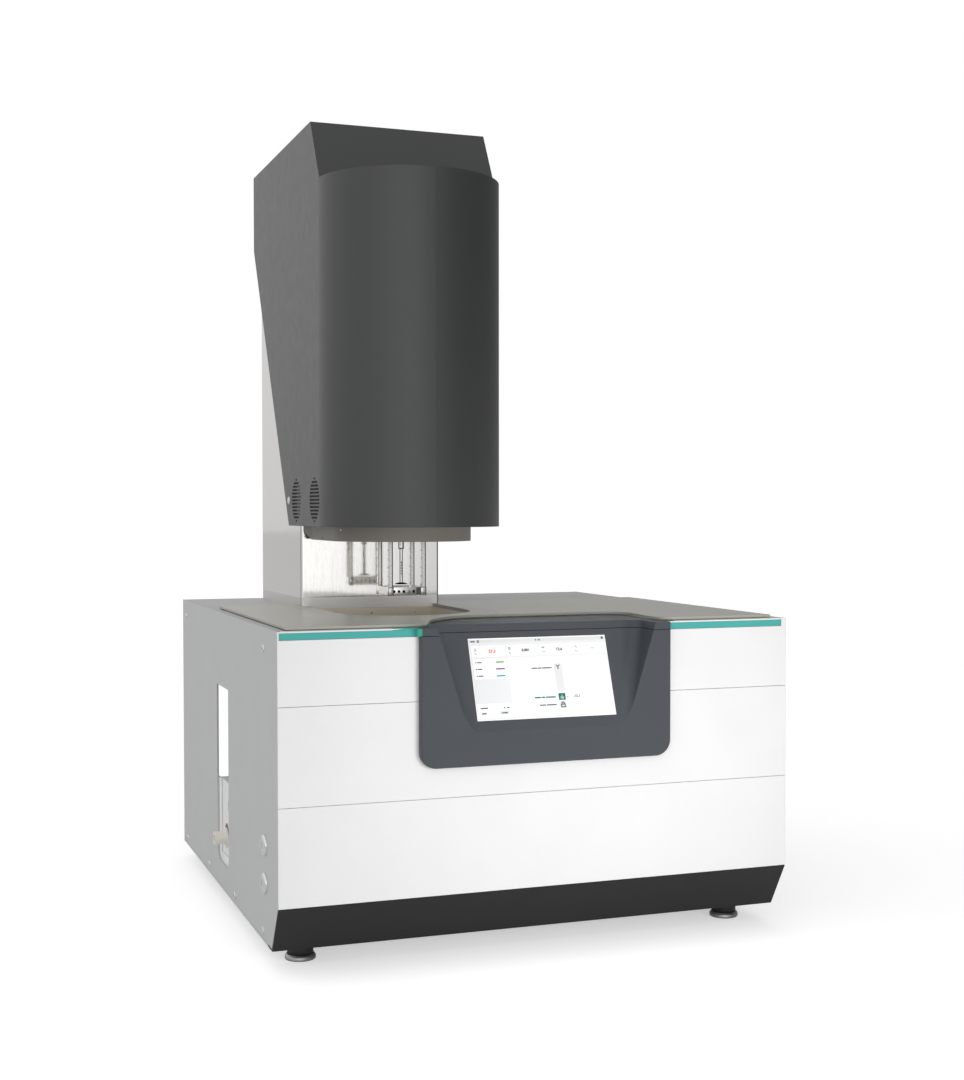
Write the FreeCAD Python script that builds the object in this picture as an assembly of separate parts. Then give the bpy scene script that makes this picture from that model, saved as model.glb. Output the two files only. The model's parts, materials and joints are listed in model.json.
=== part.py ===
import FreeCAD, Part
import math
import os
from FreeCAD import Vector

# Bench instrument that bends or compresses a small sample while a furnace rises around it.
# Frame: X to the right seen from the front, the front faces -Y, Z up, floor at Z = 0.
# All lengths are millimetres and all angles degrees.

# Base cabinet
width = 570.0
depth = 595.0
underside = 23.5
body_top = 345.0
sheet = 2.0
seam = 0.4
plinth_height = 47.1
plinth_setback = 30.0
plinth_flange = 20.0
panel_pitch = 100.0
strip_height = 6.9
strip_lip = 1.4
strip_end = 6.0
strip_thickness = 2.2
strip_tab = 2.4
ledge_drop = 6.0
front_return = 12.0
tray_thickness = 2.5
tray_flange = 18.0
post_leg = 18.0
post_wall = 2.5
bar_thickness = 4.0
bar_gap = 4.0
bar_overlap = 32.4
boss_radius = 11.0
side_gap = 0.3

# Deck and cover plate
cover_thickness = 2.6
cover_rebate = 1.0
cover_rebate_inset = 2.5
cover_left_margin = 10.0
cover_right_margin = 14.0
cover_front_margin = 10.0
cover_rear_margin = 39.0
recess_depth = 112.0
recess_margin = 12.0
recess_bends = ((-15.0, 0.42), (21.0, 0.84), (68.0, 0.982))

# Furnace opening, on the sample axis
axis_from_side = 190.0
axis_setback = 212.0
opening_radius = 79.0
opening_ring_radius = 100.0
ring_fit = 0.2
liner_wall = 1.0
liner_depth = 13.0
liner_drop = 3.8

# Display housing
bezel_half = 140.0
bezel_height = 143.0
bezel_proud = 8.0
bezel_corner = 17.0
bezel_chamfer = 1.5
bezel_lip = 5.0
pocket_rise = 35.0
pocket_top_half = 122.0
pocket_half = 89.0
pocket_depth = 41.0
pocket_round = 12.0
bezel_skin = 3.0
bezel_seam_drop = 8.0
bezel_seam = 0.5
screen_width = 156.0
screen_height = 88.0
screen_offset = 11.8
screen_recess = 0.3
glass = 1.2
module_margin = 5.0
module_depth = 9.0
shelf_margin = 10.0
shelf_depth = 128.0

# Column
column_half = 87.0
axis_to_column = 129.0
column_rear_gap = 23.0
column_wall = 3.0
column_fold = 2.5
column_drop = 100.0

# Head
head_gap = 101.0
head_top = 900.0
head_radius = 103.0
nose_ahead = 27.4
slope_ahead = 34.0
slope_behind = 7.0
rim_drop = 70.0
kink_drop = 95.5
head_rear_gap = 32.0
head_overhang = 4.0
cover_wall = 1.5
base_plate = 8.0
base_gap = 0.3
ring_radius = 80.0
ring_height = 16.6
ring_rear_gap = 25.0
ring_mouth = 40.0
ring_link = 6.0
cheek_offset = 84.5
cheek_wall = 4.0
cheek_rise = 9.7
vent_radius = 24.0
vent_pitch = 4.0
vent_hole = 1.45
vent_behind = 84.5
vent_ahead = 6.3
vent_rise = 30.0
cap_behind = 122.0
cap_radius = 4.5
cap_height = 1.8

# Sample frame and push rod
bar_x = 19.5
bar_y = 22.0
bar_side = 5.0
bar_hole = 1.0
bar_hole_pitch = 10.0
beam_gap = 23.0
beam_height = 9.0
beam_hole = 1.6
beam_hole_pitch = 5.8
beam_hole_count = 5
rod_thin = 1.85
rod_clamp = 3.25
rod_main = 5.0
clamp_drop = 26.0
plate_radius = 7.0
plate_rim = 0.6
plate_cone = 1.3
plate_gap = 2.5
rod_hole = 0.8
rod_hole_pitch = 3.2
rod_hole_count = 5
rod_hole_start = 12.0
running = 0.05
push_up = 20.0

# Drive inside the head; the heights are shares of the head's height
frame_plate_share = 0.242
sensor_share = 0.339
spider_share = 0.467
magnet_plate_share = 0.52
coil_share = 0.637
magnet_share = 0.758
core_share = 0.837
gauge_share = 0.89
sensor_height = 30.0
sensor_radius = 16.0
sensor_window = 9.0
spider = 4.0
frame_plate = 8.0
magnet_plate = 10.0
frame_half = 72.0
frame_reach = 62.0
frame_corner = 12.0
frame_post_x = 59.0
frame_post_y = 48.0
frame_post = 6.0
magnet_radius = 56.0
gap_inner = 34.0
gap_outer = 41.0
coil_wall = 3.0
coil_window = 7.0
coil_window_at = 21.0
core_radius = 2.0
gauge_radius = 13.0
bushing_radius = 12.0
bushing_height = 24.0

# Furnace
furnace_radius = 74.0
furnace_rear_gap = 2.5
furnace_height = 116.0
furnace_sheet = 1.5
travel = 165.0
seal_gap = 0.4
seal_thickness = 1.5
seal_width = 8.0
seal_land = 6.0
top_plate = 3.0
chamber_radius = 38.0
chamber_wall = 1.5
chamber_base = 4.0
heater_radius = 44.0
heater_strip = 6.0
heater_thickness = 1.5
heater_margin = 10.0
heater_strips = 16
base_height = 82.0
box_gap = 4.0
box_sheet = 1.5
box_drop = 6.0
box_slot_gap = 2.0
nozzle_behind = 88.0
nozzle_rise = 17.0
nozzle_radius = 7.5
nozzle_bore = 4.0
nozzle_length = 15.0
nozzle_collar = 11.5
collar_height = 1.5
port_window = 7.0

# Hose slot in the left side panel and in the rear panel
slot_behind = 55.5
slot_rear_gap = 1.5
slot_below = 24.5
slot_above = 3.5
slot_corner = 15.0
rear_slot_margin = 21.0
rear_slot_width = 57.0
rear_slot_drop = 9.0

# Lift
screw_behind = 34.5
screw_radius = 5.0
nut_radius = 9.0
nut_flange = 16.0
nut_height = 24.0
nut_shelf = 44.0
rail_offset = 45.0
rail_wide = 12.0
rail_high = 8.0
block_half = 13.5
block_height = 36.0
lift_plate_behind = 84.5
lift_plate = 8.0
lift_half = 72.0
rib = 5.0
carriage_half = 60.0
carriage_plate = 8.0
carriage_gap = 24.0
carriage_rise = 2.0
carriage_height = 100.0
arm_wall = 8.0
bearing_radius = 17.0
motor_size = 56.0
motor_height = 56.0
coupling_radius = 9.5
standoff_height = 28.0

# Screws in the side panels
screw_head = 1.4
screw_head_radius = 4.2
screw_drop = 21.0
screw_rise = 7.5
high_row_front = 67.5
high_row_rear = 28.5
low_row_front = 75.5
low_row_rear = 34.4
low_row_count = 4

# Feet
foot_inset_x = 38.0
foot_inset_y = 71.0
foot_radius = 16.0
foot_disc = 6.0
foot_cap_radius = 13.5
foot_cap = 9.0
foot_stem = 5.0
foot_nut = 10.0

# Gas ports
port_setback = 64.0
port_rises = (59.5, 98.5)
port_radius = 11.0
port_neck = 7.7
port_bore = 3.0
port_proud = 4.0
port_depth = 12.0
block_margin = 20.0
coil_length = 30.0

# Fans, power and sockets
fan_size = 40.0
fan_depth = 15.0
fan_gap = 0.3
rear_fan_size = 80.0
rear_fan_depth = 25.0
fan_from_inlet = 125.0
rear_fan_rise = 146.5
blade_count = 7
guard_hoops = (14.0, 26.0, 38.0, 42.0)
guard_thickness = 1.5
louvre_count = 9
louvre_pitch = 14.0
louvre_height = 50.0
inlet_margin = 78.0
inlet_rise = 51.5
inlet_wide = 48.0
inlet_high = 27.0
inlet_deep = 26.0
inlet_flange = 3.0
rocker_tilt = 12.0
rocker_pin = 1.6
data_wide = 60.0
data_high = 16.0
data_gap = 45.0
supply_width = 165.0
supply_length = 130.0
supply_height = 60.0
supply_rear_gap = 107.5
supply_overhang = 20.0
terminal_width = 25.0
terminal_depth = 12.0
terminal_margin = 10.0
board_width = 210.0
board_length = 200.0
board = 1.6
board_gap = 8.0
board_edge = 10.0
chip = 40.0
standoff = 14.0
standoff_radius = 3.2

# Positions that follow from the sizes above
front = -depth / 2
back = depth / 2
side = width / 2
inner = side - sheet
floor_z = underside - tray_thickness
plinth_top = underside + plinth_height
post_face = inner - 3 * sheet
deck_bottom = body_top - sheet
cover_bottom = body_top + cover_rebate
cover_top = cover_bottom + cover_thickness
axis_x = -side + axis_from_side
axis_y = front + axis_setback
recess_half = bezel_half + recess_margin
shelf_half = bezel_half + shelf_margin
bezel_bottom = body_top - bezel_height
bezel_front = front - bezel_proud
pocket_bottom = bezel_bottom + pocket_rise
pocket_slope = pocket_depth / (body_top - pocket_bottom)
column_front = axis_y + axis_to_column
column_back = back - column_rear_gap
column_top = head_top - column_drop
head_bottom = body_top + head_gap
head_height = head_top - head_bottom
head_rim = head_top - rim_drop
head_nose_y = axis_y - nose_ahead
head_back = column_back - head_rear_gap
head_left = axis_x - head_radius
ring_bottom = head_bottom - ring_height
ring_back = column_front - ring_rear_gap
vent_height = head_bottom + vent_rise
vent_places = (axis_y + vent_behind, axis_y - vent_ahead)
beam_bottom = body_top + beam_gap
beam_top = beam_bottom + beam_height
plate_bottom = beam_top + plate_gap
clamp_bottom = head_bottom - clamp_drop
frame_plate_bottom = head_bottom + frame_plate_share * head_height
sensor_bottom = head_bottom + sensor_share * head_height
spider_bottom = head_bottom + spider_share * head_height
magnet_plate_bottom = head_bottom + magnet_plate_share * head_height
magnet_bottom = magnet_plate_bottom + magnet_plate
coil_top = head_bottom + coil_share * head_height
magnet_top = head_bottom + magnet_share * head_height
core_top = head_bottom + core_share * head_height
gauge_top = head_bottom + gauge_share * head_height
coil_outer = (gap_inner + gap_outer + coil_wall) / 2
furnace_top = ring_bottom - seal_gap - travel
furnace_bottom = furnace_top - furnace_height
furnace_back = column_front - furnace_rear_gap
chamber_floor = furnace_bottom + chamber_base
base_bottom = furnace_bottom - base_height
slot_front = axis_y + slot_behind
slot_back = column_front - slot_rear_gap
box_left = -side + box_gap
box_front = slot_front + box_slot_gap
nozzle_y = axis_y + nozzle_behind
nozzle_z = base_bottom + nozzle_rise
nozzle_end = box_left - nozzle_length
slot_bottom = nozzle_z - nozzle_radius - slot_below
slot_top = nozzle_z + travel + nozzle_radius + slot_above
rear_slot_left = -inner + rear_slot_margin
rear_slot_right = rear_slot_left + rear_slot_width
screw_y = column_front + screw_behind
lift_plate_front = column_front + lift_plate_behind
carriage_front = lift_plate_front - carriage_gap
carriage_bottom = base_bottom + carriage_rise
foot_x = side - foot_inset_x
foot_y = back - foot_inset_y
port_y = front + port_setback
port_heights = [underside + rise for rise in port_rises]
inlet_x = inner - inlet_margin
inlet_z = underside + inlet_rise
rear_fan_x = inlet_x - fan_from_inlet
rear_fan_z = underside + rear_fan_rise
supply_front = back - supply_rear_gap - supply_length


def box(x0, x1, y0, y1, z0, z1):
    return Part.makeBox(x1 - x0, y1 - y0, z1 - z0, Vector(x0, y0, z0))


def post(x, y, z0, z1, r):
    return Part.makeCylinder(r, z1 - z0, Vector(x, y, z0))


def rod_x(x0, x1, y, z, r):
    return Part.makeCylinder(r, x1 - x0, Vector(x0, y, z), Vector(1, 0, 0))


def rod_y(x, y0, y1, z, r):
    return Part.makeCylinder(r, y1 - y0, Vector(x, y0, z), Vector(0, 1, 0))


def tube(x, y, z0, z1, outer, bore):
    return post(x, y, z0, z1, outer).cut(post(x, y, z0, z1, bore))


def fuse(*shapes):
    whole = shapes[0]
    for shape in shapes[1:]:
        whole = whole.fuse(shape)
    return whole.removeSplitter()


def cut(shape, *tools):
    for tool in tools:
        shape = shape.cut(tool)
    return shape


def upright_edges(shape, height):
    return [e for e in shape.Edges if e.BoundBox.ZLength > height - 1e-6]


def side_sheet(points, x0, x1):
    """A flat outline of (y, z) points, as thick as x0 to x1."""
    wire = Part.makePolygon([Vector(x0, y, z) for y, z in points + points[:1]])
    return Part.Face(wire).extrude(Vector(x1 - x0, 0, 0))


def plan_sheet(points, z0, z1):
    """A flat outline of (x, y) points, as high as z0 to z1."""
    wire = Part.makePolygon([Vector(x, y, z0) for x, y in points + points[:1]])
    return Part.Face(wire).extrude(Vector(0, 0, z1 - z0))


def ring_points(u, v, r, count):
    """Corners of a regular polygon around (u, v)."""
    turn = 2 * math.pi / count
    return [(u + r * math.cos(turn * k), v + r * math.sin(turn * k)) for k in range(count)]


def prism_x(x0, x1, y, z, r, count):
    return side_sheet(ring_points(y, z, r, count), x0, x1)


def prism_y(x, y0, y1, z, r, count):
    corners = [Vector(a, y0, b) for a, b in ring_points(x, z, r, count)]
    return Part.Face(Part.makePolygon(corners + corners[:1])).extrude(Vector(0, y1 - y0, 0))


def prism_z(x, y, z0, z1, r, count):
    return plan_sheet(ring_points(x, y, r, count), z0, z1)


def u_shape(y, r, rear, z0, z1):
    """Half round in front, straight sides back to the rear, seen from above on the sample axis."""
    a = Vector(axis_x - r, rear, z0)
    b = Vector(axis_x - r, y, z0)
    c = Vector(axis_x, y - r, z0)
    d = Vector(axis_x + r, y, z0)
    e = Vector(axis_x + r, rear, z0)
    edges = [Part.makeLine(a, b), Part.Arc(b, c, d).toShape(), Part.makeLine(d, e), Part.makeLine(e, a)]
    return Part.Face(Part.Wire(edges)).extrude(Vector(0, 0, z1 - z0))


def slot_cut(x0, x1):
    """The hose slot: square above, rounded below."""
    high = box(x0, x1, slot_front, slot_back, slot_bottom + slot_corner, slot_top)
    low = box(x0, x1, slot_front + slot_corner, slot_back - slot_corner, slot_bottom, slot_top)
    corners = [rod_x(x0, x1, y, slot_bottom + slot_corner, slot_corner)
               for y in (slot_front + slot_corner, slot_back - slot_corner)]
    return fuse(high, low, *corners)


def side_panel(hand):
    outline = [(front + sheet + seam, body_top), (front + sheet + seam, plinth_top),
               (front + plinth_setback + sheet, underside), (back, underside), (back, body_top)]
    x0, x1 = sorted((hand * side, hand * inner))
    return side_sheet(outline, x0, x1)


def left_side_panel():
    panel = cut(side_panel(-1), slot_cut(-side - 1, -inner + 1))
    for z in port_heights:
        panel = panel.cut(rod_x(-side - 1, -inner + 1, port_y, z, port_neck + side_gap))
    return panel


def front_panel(z0, z1):
    """A flat sheet with side returns that slip inside the side panels."""
    panel = box(-side, side, front, front + sheet, z0, z1)
    for hand in (-1, 1):
        x0, x1 = sorted((hand * (inner - seam), hand * (inner - seam - sheet)))
        panel = panel.fuse(box(x0, x1, front, front + sheet + front_return, z0, z1))
    opening = box(-bezel_half + bezel_lip, bezel_half - bezel_lip, front - 1, front + front_return,
                  bezel_bottom + bezel_lip, body_top + 1)
    return panel.cut(opening).removeSplitter()


def upper_front_panel(z0, z1):
    """The top sheet steps in behind the coloured strip and folds over it into a ledge level with the deck."""
    panel = front_panel(z0, z1)
    y0 = front + sheet
    y1 = front + strip_thickness
    y2 = y1 + sheet
    y3 = front + cover_front_margin
    lip = body_top - strip_lip
    ledge = [(y0, z1 - ledge_drop), (y2, z1 - ledge_drop), (y2, deck_bottom), (y3, deck_bottom), (y3, body_top),
             (front, body_top), (front, lip), (y1, lip), (y1, z1), (y0, z1)]
    reach = inner - seam - sheet
    near = shelf_half + side_gap
    for x0, x1 in ((-reach, -near), (near, reach)):
        panel = panel.fuse(side_sheet(ledge, x0, x1))
    for x0, x1 in ((-near, -bezel_half - seam), (bezel_half + seam, near), (-side, -reach), (reach, side)):
        panel = panel.fuse(box(x0, x1, front, y0, lip, body_top))
    ends = [box(-side, -side + strip_lip, front, y0, z1, body_top),
            box(side - strip_end, side, front, y0, z1, body_top),
            box(side - strip_end, reach, front, y2, z1 - ledge_drop, body_top)]
    return fuse(panel, *ends)


def trim_strip():
    """Two coloured inlays under the ledge; the left one turns out along the display housing."""
    z0 = body_top - strip_lip - strip_height
    z1 = body_top - strip_lip
    x1 = -bezel_half - seam
    left = box(-side + strip_lip, x1, front, front + strip_thickness, z0, z1)
    tab = box(x1 - strip_tab, x1, bezel_front + seam, front, z0, z1)
    right = box(bezel_half + seam, side - strip_end - seam, front, front + strip_thickness, z0, z1)
    return Part.makeCompound([fuse(left, tab), right])


def plinth():
    """Slanted kick plate with a foot flange and two closed ends."""
    t = sheet
    y_foot = front + plinth_setback
    y_rear = y_foot + plinth_flange
    top = plinth_top - seam
    outer = [(front, top), (y_foot, floor_z), (y_rear, floor_z), (y_rear, top)]
    hollow = [(front + t + seam, top + 1), (y_foot + t, floor_z + t), (y_rear + 1, floor_z + t), (y_rear + 1, top + 1)]
    body = side_sheet(outer, -side, side)
    body = body.cut(side_sheet(hollow, -inner + 2 * t, inner - 2 * t))
    lap = front + sheet + seam - side_gap
    behind = [(lap, plinth_top + 5), (lap, plinth_top - side_gap), (y_foot + sheet - side_gap, underside - side_gap),
              (back, underside - side_gap), (back, plinth_top + 5)]
    for x0, x1 in ((-side - 1, -inner + side_gap), (inner - side_gap, side + 1)):
        body = body.cut(side_sheet(behind, x0, x1))
    return body


def base_tray():
    y0 = front + plinth_setback + plinth_flange + seam
    tray = box(-side, side, y0, back, floor_z, underside - side_gap)
    rim = box(-inner + seam, inner - seam, y0, back - sheet - seam, floor_z, floor_z + tray_flange)
    hollow = box(-inner + seam + sheet, inner - seam - sheet, y0 + sheet, back - 2 * sheet - seam,
                 underside, floor_z + tray_flange + 1)
    tray = fuse(tray, rim.cut(hollow))
    for x in (-foot_x, foot_x):
        for y in (-foot_y, foot_y):
            tray = tray.fuse(post(x, y, underside - 1, underside + foot_nut, boss_radius))
            tray = tray.cut(post(x, y, floor_z - 1, underside + foot_nut + 1, foot_stem + running))
    return tray


def front_cross_bar():
    """Ties the tray to the front posts above the plinth."""
    y0 = front + plinth_setback + bar_gap
    y1 = front + plinth_setback + plinth_flange + bar_overlap
    z0 = floor_z + tray_flange
    return box(-post_face, post_face, y0, y1, z0, z0 + bar_thickness)


def corner_posts():
    """Four angle posts between the tray and the deck."""
    posts = []
    for hx in (-1, 1):
        for hy in (-1, 1):
            x_out = hx * post_face
            y_out = front + front_return + 5 * sheet if hy < 0 else back - 2 * sheet - seam - 1
            z0 = floor_z + tray_flange + bar_thickness if hy < 0 else underside
            legs = []
            for dx, dy in ((post_leg, post_wall), (post_wall, post_leg)):
                x0, x1 = sorted((x_out, x_out - hx * dx))
                y0, y1 = sorted((y_out, y_out - hy * dy))
                legs.append(box(x0, x1, y0, y1, z0, deck_bottom))
            posts.append(fuse(*legs))
    return Part.makeCompound(posts)


def shaft_hole(z0, z1, extra=0.0):
    return u_shape(axis_y, opening_radius + extra, column_front + extra, z0, z1)


def deck_plate():
    deck = box(-inner + side_gap, inner - side_gap, front + cover_front_margin + seam, back - sheet - seam,
               deck_bottom, body_top)
    half = shelf_half + side_gap
    shelf = box(-half, half, front - 1, front + shelf_depth + side_gap, deck_bottom - 1, body_top + 1)
    drive = motor_size / 2 + 5
    motor_hole = box(axis_x - drive, axis_x + drive, column_front + column_wall + 1, screw_y + drive,
                     deck_bottom - 1, body_top + 1)
    return cut(deck, shelf, shaft_hole(deck_bottom - 1, body_top + 1), motor_hole)


def cover_outline(z0, z1):
    """Cover plate: a rectangle whose front edge swings back behind the display."""
    y_front = front + cover_front_margin
    y_mid = y_front + recess_depth
    y_rear = column_front + cover_rear_margin
    x_left = -side + cover_left_margin
    x_right = side - cover_right_margin
    left = Part.BSplineCurve()
    bends = [Vector(axis_x + dx, y_front + share * recess_depth, z0) for dx, share in recess_bends]
    left.interpolate([Vector(-recess_half, y_front, z0)] + bends,
                     InitialTangent=Vector(1, 0, 0), FinalTangent=Vector(1, 0, 0))
    right = Part.BSplineCurve()
    right.interpolate([Vector(0.684 * recess_half, y_mid, z0),
                       Vector(0.908 * recess_half, y_front + 0.72 * recess_depth, z0),
                       Vector(1.026 * recess_half, y_front, z0)],
                      InitialTangent=Vector(1, 0, 0), FinalTangent=Vector(1, 0, 0))
    a = left.value(left.LastParameter)
    b = right.value(right.FirstParameter)
    c = right.value(right.LastParameter)
    points = [c, Vector(x_right, y_front, z0), Vector(x_right, y_rear, z0), Vector(x_left, y_rear, z0),
              Vector(x_left, y_front, z0), Vector(-recess_half, y_front, z0)]
    edges = [left.toShape(), Part.makeLine(a, b), right.toShape()]
    edges += [Part.makeLine(points[k], points[k + 1]) for k in range(len(points) - 1)]
    return Part.Face(Part.Wire(Part.__sortEdges__(edges))).extrude(Vector(0, 0, z1 - z0))


def cover_blank():
    """Plate on a smaller layer that stands it off the deck by a shadow gap."""
    plate = cover_outline(cover_bottom, cover_top)
    layer = cover_outline(body_top, cover_bottom)
    limits = layer.BoundBox
    layer.translate(Vector(0, cover_rebate_inset, 0))
    inside = box(limits.XMin + cover_rebate_inset, limits.XMax - cover_rebate_inset, limits.YMin,
                 limits.YMax - cover_rebate_inset, body_top, cover_bottom)
    return fuse(plate, layer.common(inside))


def column_outline(z0, z1, gap):
    return box(axis_x - column_half - gap, axis_x + column_half + gap, column_front - gap, column_back + gap, z0, z1)


def deck_cover():
    ring = u_shape(axis_y, opening_ring_radius + ring_fit, column_front + ring_fit, body_top - 1, cover_top + 1)
    return cut(cover_blank(), ring, column_outline(body_top - 1, cover_top + 1, 0.5))


def opening_ring():
    plate = u_shape(axis_y, opening_ring_radius - ring_fit, column_front - 0.5, body_top, cover_top)
    return cut(plate.common(cover_blank()), shaft_hole(body_top - 1, cover_top + 1))


def shaft_liner():
    outer = shaft_hole(body_top - liner_depth, cover_top - liner_drop, -side_gap)
    hollow = shaft_hole(body_top - liner_depth - 1, cover_top, -side_gap - liner_wall)
    return outer.cut(hollow)


def pocket(grow):
    """Wedge behind the screen, with splayed sides that turn into the back in a wide fillet."""
    lead_in = bezel_proud + bezel_lip
    z0 = pocket_bottom - 2 * lead_in
    z1 = body_top + lead_in
    y_open = bezel_front - lead_in - 3 * pocket_round
    splay = (pocket_top_half - pocket_half) / (body_top - pocket_bottom)
    loops = []
    for z in (z0, z1):
        half = pocket_half + (z - pocket_bottom) * splay + grow
        y = bezel_front + (z - pocket_bottom) * pocket_slope + grow * math.hypot(1, pocket_slope)
        loop = [Vector(-half, y_open, z), Vector(half, y_open, z), Vector(half, y, z), Vector(-half, y, z)]
        loops.append(Part.makePolygon(loop + loop[:1]))
    wedge = Part.makeLoft(loops, True, True)
    creases = [e for e in upright_edges(wedge, z1 - z0) if e.BoundBox.YMax > y - 1e-6]
    return wedge.makeFillet(pocket_round + grow, creases)


def on_screen(half, s0, s1, t0, t1):
    """A block on the sloped screen plane: s runs up the slope, t runs away from the viewer."""
    block = Part.makeBox(2 * half, t1 - t0, s1 - s0, Vector(-half, t0, s0))
    block.rotate(Vector(0, 0, 0), Vector(1, 0, 0), -math.degrees(math.atan(pocket_slope)))
    block.translate(Vector(0, bezel_front, pocket_bottom))
    return block


def bezel_whole():
    plate = box(-bezel_half, bezel_half, bezel_front, front - ring_fit, bezel_bottom, body_top)
    low_edges = [e for e in plate.Edges
                 if abs(e.BoundBox.YLength - (bezel_proud - ring_fit)) < 1e-6 and e.BoundBox.ZMax < bezel_bottom + 1e-6]
    plate = plate.makeFillet(bezel_corner, low_edges)
    face_edges = [e for e in plate.Edges
                  if e.BoundBox.YMax < bezel_front + 1e-6 and e.BoundBox.ZMin < body_top - 1e-6]
    plate = plate.makeChamfer(bezel_chamfer, face_edges)
    skin = pocket(bezel_skin).common(box(-side, side, bezel_front + sheet, 0, bezel_bottom, body_top))
    shelf_front = front + strip_thickness + seam
    shelf = box(-shelf_half, shelf_half, shelf_front, front + shelf_depth, deck_bottom, body_top)
    neck_half = bezel_half - bezel_lip - 0.5
    neck = box(-neck_half, neck_half, front - ring_fit, shelf_front + 1, deck_bottom, body_top)
    whole = fuse(plate, skin, neck, shelf)
    s1 = screen_offset + screen_height
    window = on_screen(screen_width / 2 + ring_fit, screen_offset - ring_fit, s1 + ring_fit, -1, 20)
    seat = on_screen(screen_width / 2 + module_margin + ring_fit, screen_offset - module_margin - ring_fit,
                     s1, bezel_skin - 0.6, 30)
    return cut(whole, pocket(0), window, seat)


def display_parts():
    whole = bezel_whole()
    split = body_top - bezel_seam_drop
    low = whole.common(box(-side, side, bezel_front - 1, 0, 0, split - bezel_seam / 2))
    high = whole.common(box(-side, side, bezel_front - 1, 0, split + bezel_seam / 2, body_top + 1))
    s0, s1 = screen_offset, screen_offset + screen_height
    t0 = screen_recess + glass
    screen = on_screen(screen_width / 2, s0, s1, screen_recess, t0)
    module = fuse(on_screen(screen_width / 2 - 1, s0 + 1, s1 - 1, t0, bezel_skin),
                  on_screen(screen_width / 2 + module_margin, s0 - module_margin, s1 - 1,
                            bezel_skin - side_gap, bezel_skin + module_depth))
    return low, high, screen, module


def socket_holes(y0, y1, extra):
    """Cut-outs for the mains inlet and the data sockets."""
    wide, high = inlet_wide / 2 + extra, inlet_high / 2 + extra
    x1 = inlet_x - data_gap + extra
    x0 = x1 - data_wide - 2 * extra
    tall = data_high / 2 + extra
    return [box(inlet_x - wide, inlet_x + wide, y0, y1, inlet_z - high, inlet_z + high),
            box(x0, x1, y0, y1, inlet_z - tall, inlet_z + tall)]


def rear_panel():
    y0, y1 = back - sheet - 1, back + 1
    panel = box(-inner + side_gap, inner - side_gap, back - sheet, back, underside, body_top - side_gap)
    slot = box(rear_slot_left, rear_slot_right, y0, y1, slot_bottom + rear_slot_drop, slot_top - rear_slot_drop)
    fan = rod_y(rear_fan_x, y0, y1, rear_fan_z, rear_fan_size / 2 - 2)
    panel = cut(panel, slot, fan, *socket_holes(y0, y1, side_gap))
    top = slot_top + louvre_height - 2 * rear_slot_drop
    for k in range(louvre_count):
        x = rear_slot_right + 4 * louvre_pitch + louvre_pitch * k
        panel = panel.cut(box(x - sheet, x + sheet, y0, y1, top - louvre_height, top))
    return panel


def fan_guard():
    """Flat guard: hoops joined by four spokes."""
    y0, y1 = back, back + guard_thickness
    parts = [rod_y(rear_fan_x, y0, y1, rear_fan_z, r).cut(rod_y(rear_fan_x, y0 - 1, y1 + 1, rear_fan_z, r - 2))
             for r in guard_hoops]
    for k in range(4):
        spoke = box(rear_fan_x + guard_hoops[0] - 1, rear_fan_x + guard_hoops[-1] - 1, y0, y1,
                    rear_fan_z - 1, rear_fan_z + 1)
        spoke.rotate(Vector(rear_fan_x, y0, rear_fan_z), Vector(0, 1, 0), 45 + 90 * k)
        parts.append(spoke)
    return fuse(*parts)


def fan_frame(size, deep):
    """Square fan housing around the Z axis, from 0 to its depth."""
    frame = box(-size / 2, size / 2, -size / 2, size / 2, 0, deep)
    frame = frame.makeFillet(size * 0.06, upright_edges(frame, deep))
    frame = frame.cut(post(0, 0, -1, deep + 1, size / 2 - 1.5))
    for hx in (-1, 1):
        for hy in (-1, 1):
            frame = frame.cut(prism_z(hx * size * 0.41, hy * size * 0.41, -1, deep + 1, size * 0.027, 8))
    frame = frame.fuse(post(0, 0, 0, deep * 0.2, size * 0.2))
    for k in range(3):
        arm = box(size * 0.15, size / 2 - 1, -size * 0.03, size * 0.03, 0, deep * 0.15)
        arm.rotate(Vector(0, 0, 0), Vector(0, 0, 1), 90 + 120 * k)
        frame = frame.fuse(arm)
    return frame.removeSplitter()


def fan_rotor(size, deep):
    """Hub with pitched blades; the shaft end sits just above the frame's hub."""
    z0 = deep * 0.2 + fan_gap
    z1 = deep * 0.95
    hub_r = size * 0.21
    tip_r = size / 2 - 2.5
    pitch = deep * 0.56
    root = hub_r - 1
    blade_wall = size * 0.03
    rotor = post(0, 0, z0, z1, hub_r)
    for k in range(blade_count):
        profile = [Vector(root, -pitch, z0 + 1), Vector(root, blade_wall - pitch, z0 + 1),
                   Vector(root, pitch + blade_wall, z1 - 1), Vector(root, pitch, z1 - 1)]
        blade = Part.Face(Part.makePolygon(profile + profile[:1])).extrude(Vector(tip_r - root + 1, 0, 0))
        blade.rotate(Vector(0, 0, 0), Vector(0, 0, 1), 360.0 / blade_count * k)
        rotor = rotor.fuse(blade)
    return rotor.common(post(0, 0, z0, z1, tip_r)).removeSplitter()


def place_fan(shape, x, y, z, turn_axis, angle):
    shape.rotate(Vector(0, 0, 0), turn_axis, angle)
    shape.translate(Vector(x, y, z))
    return shape


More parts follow.
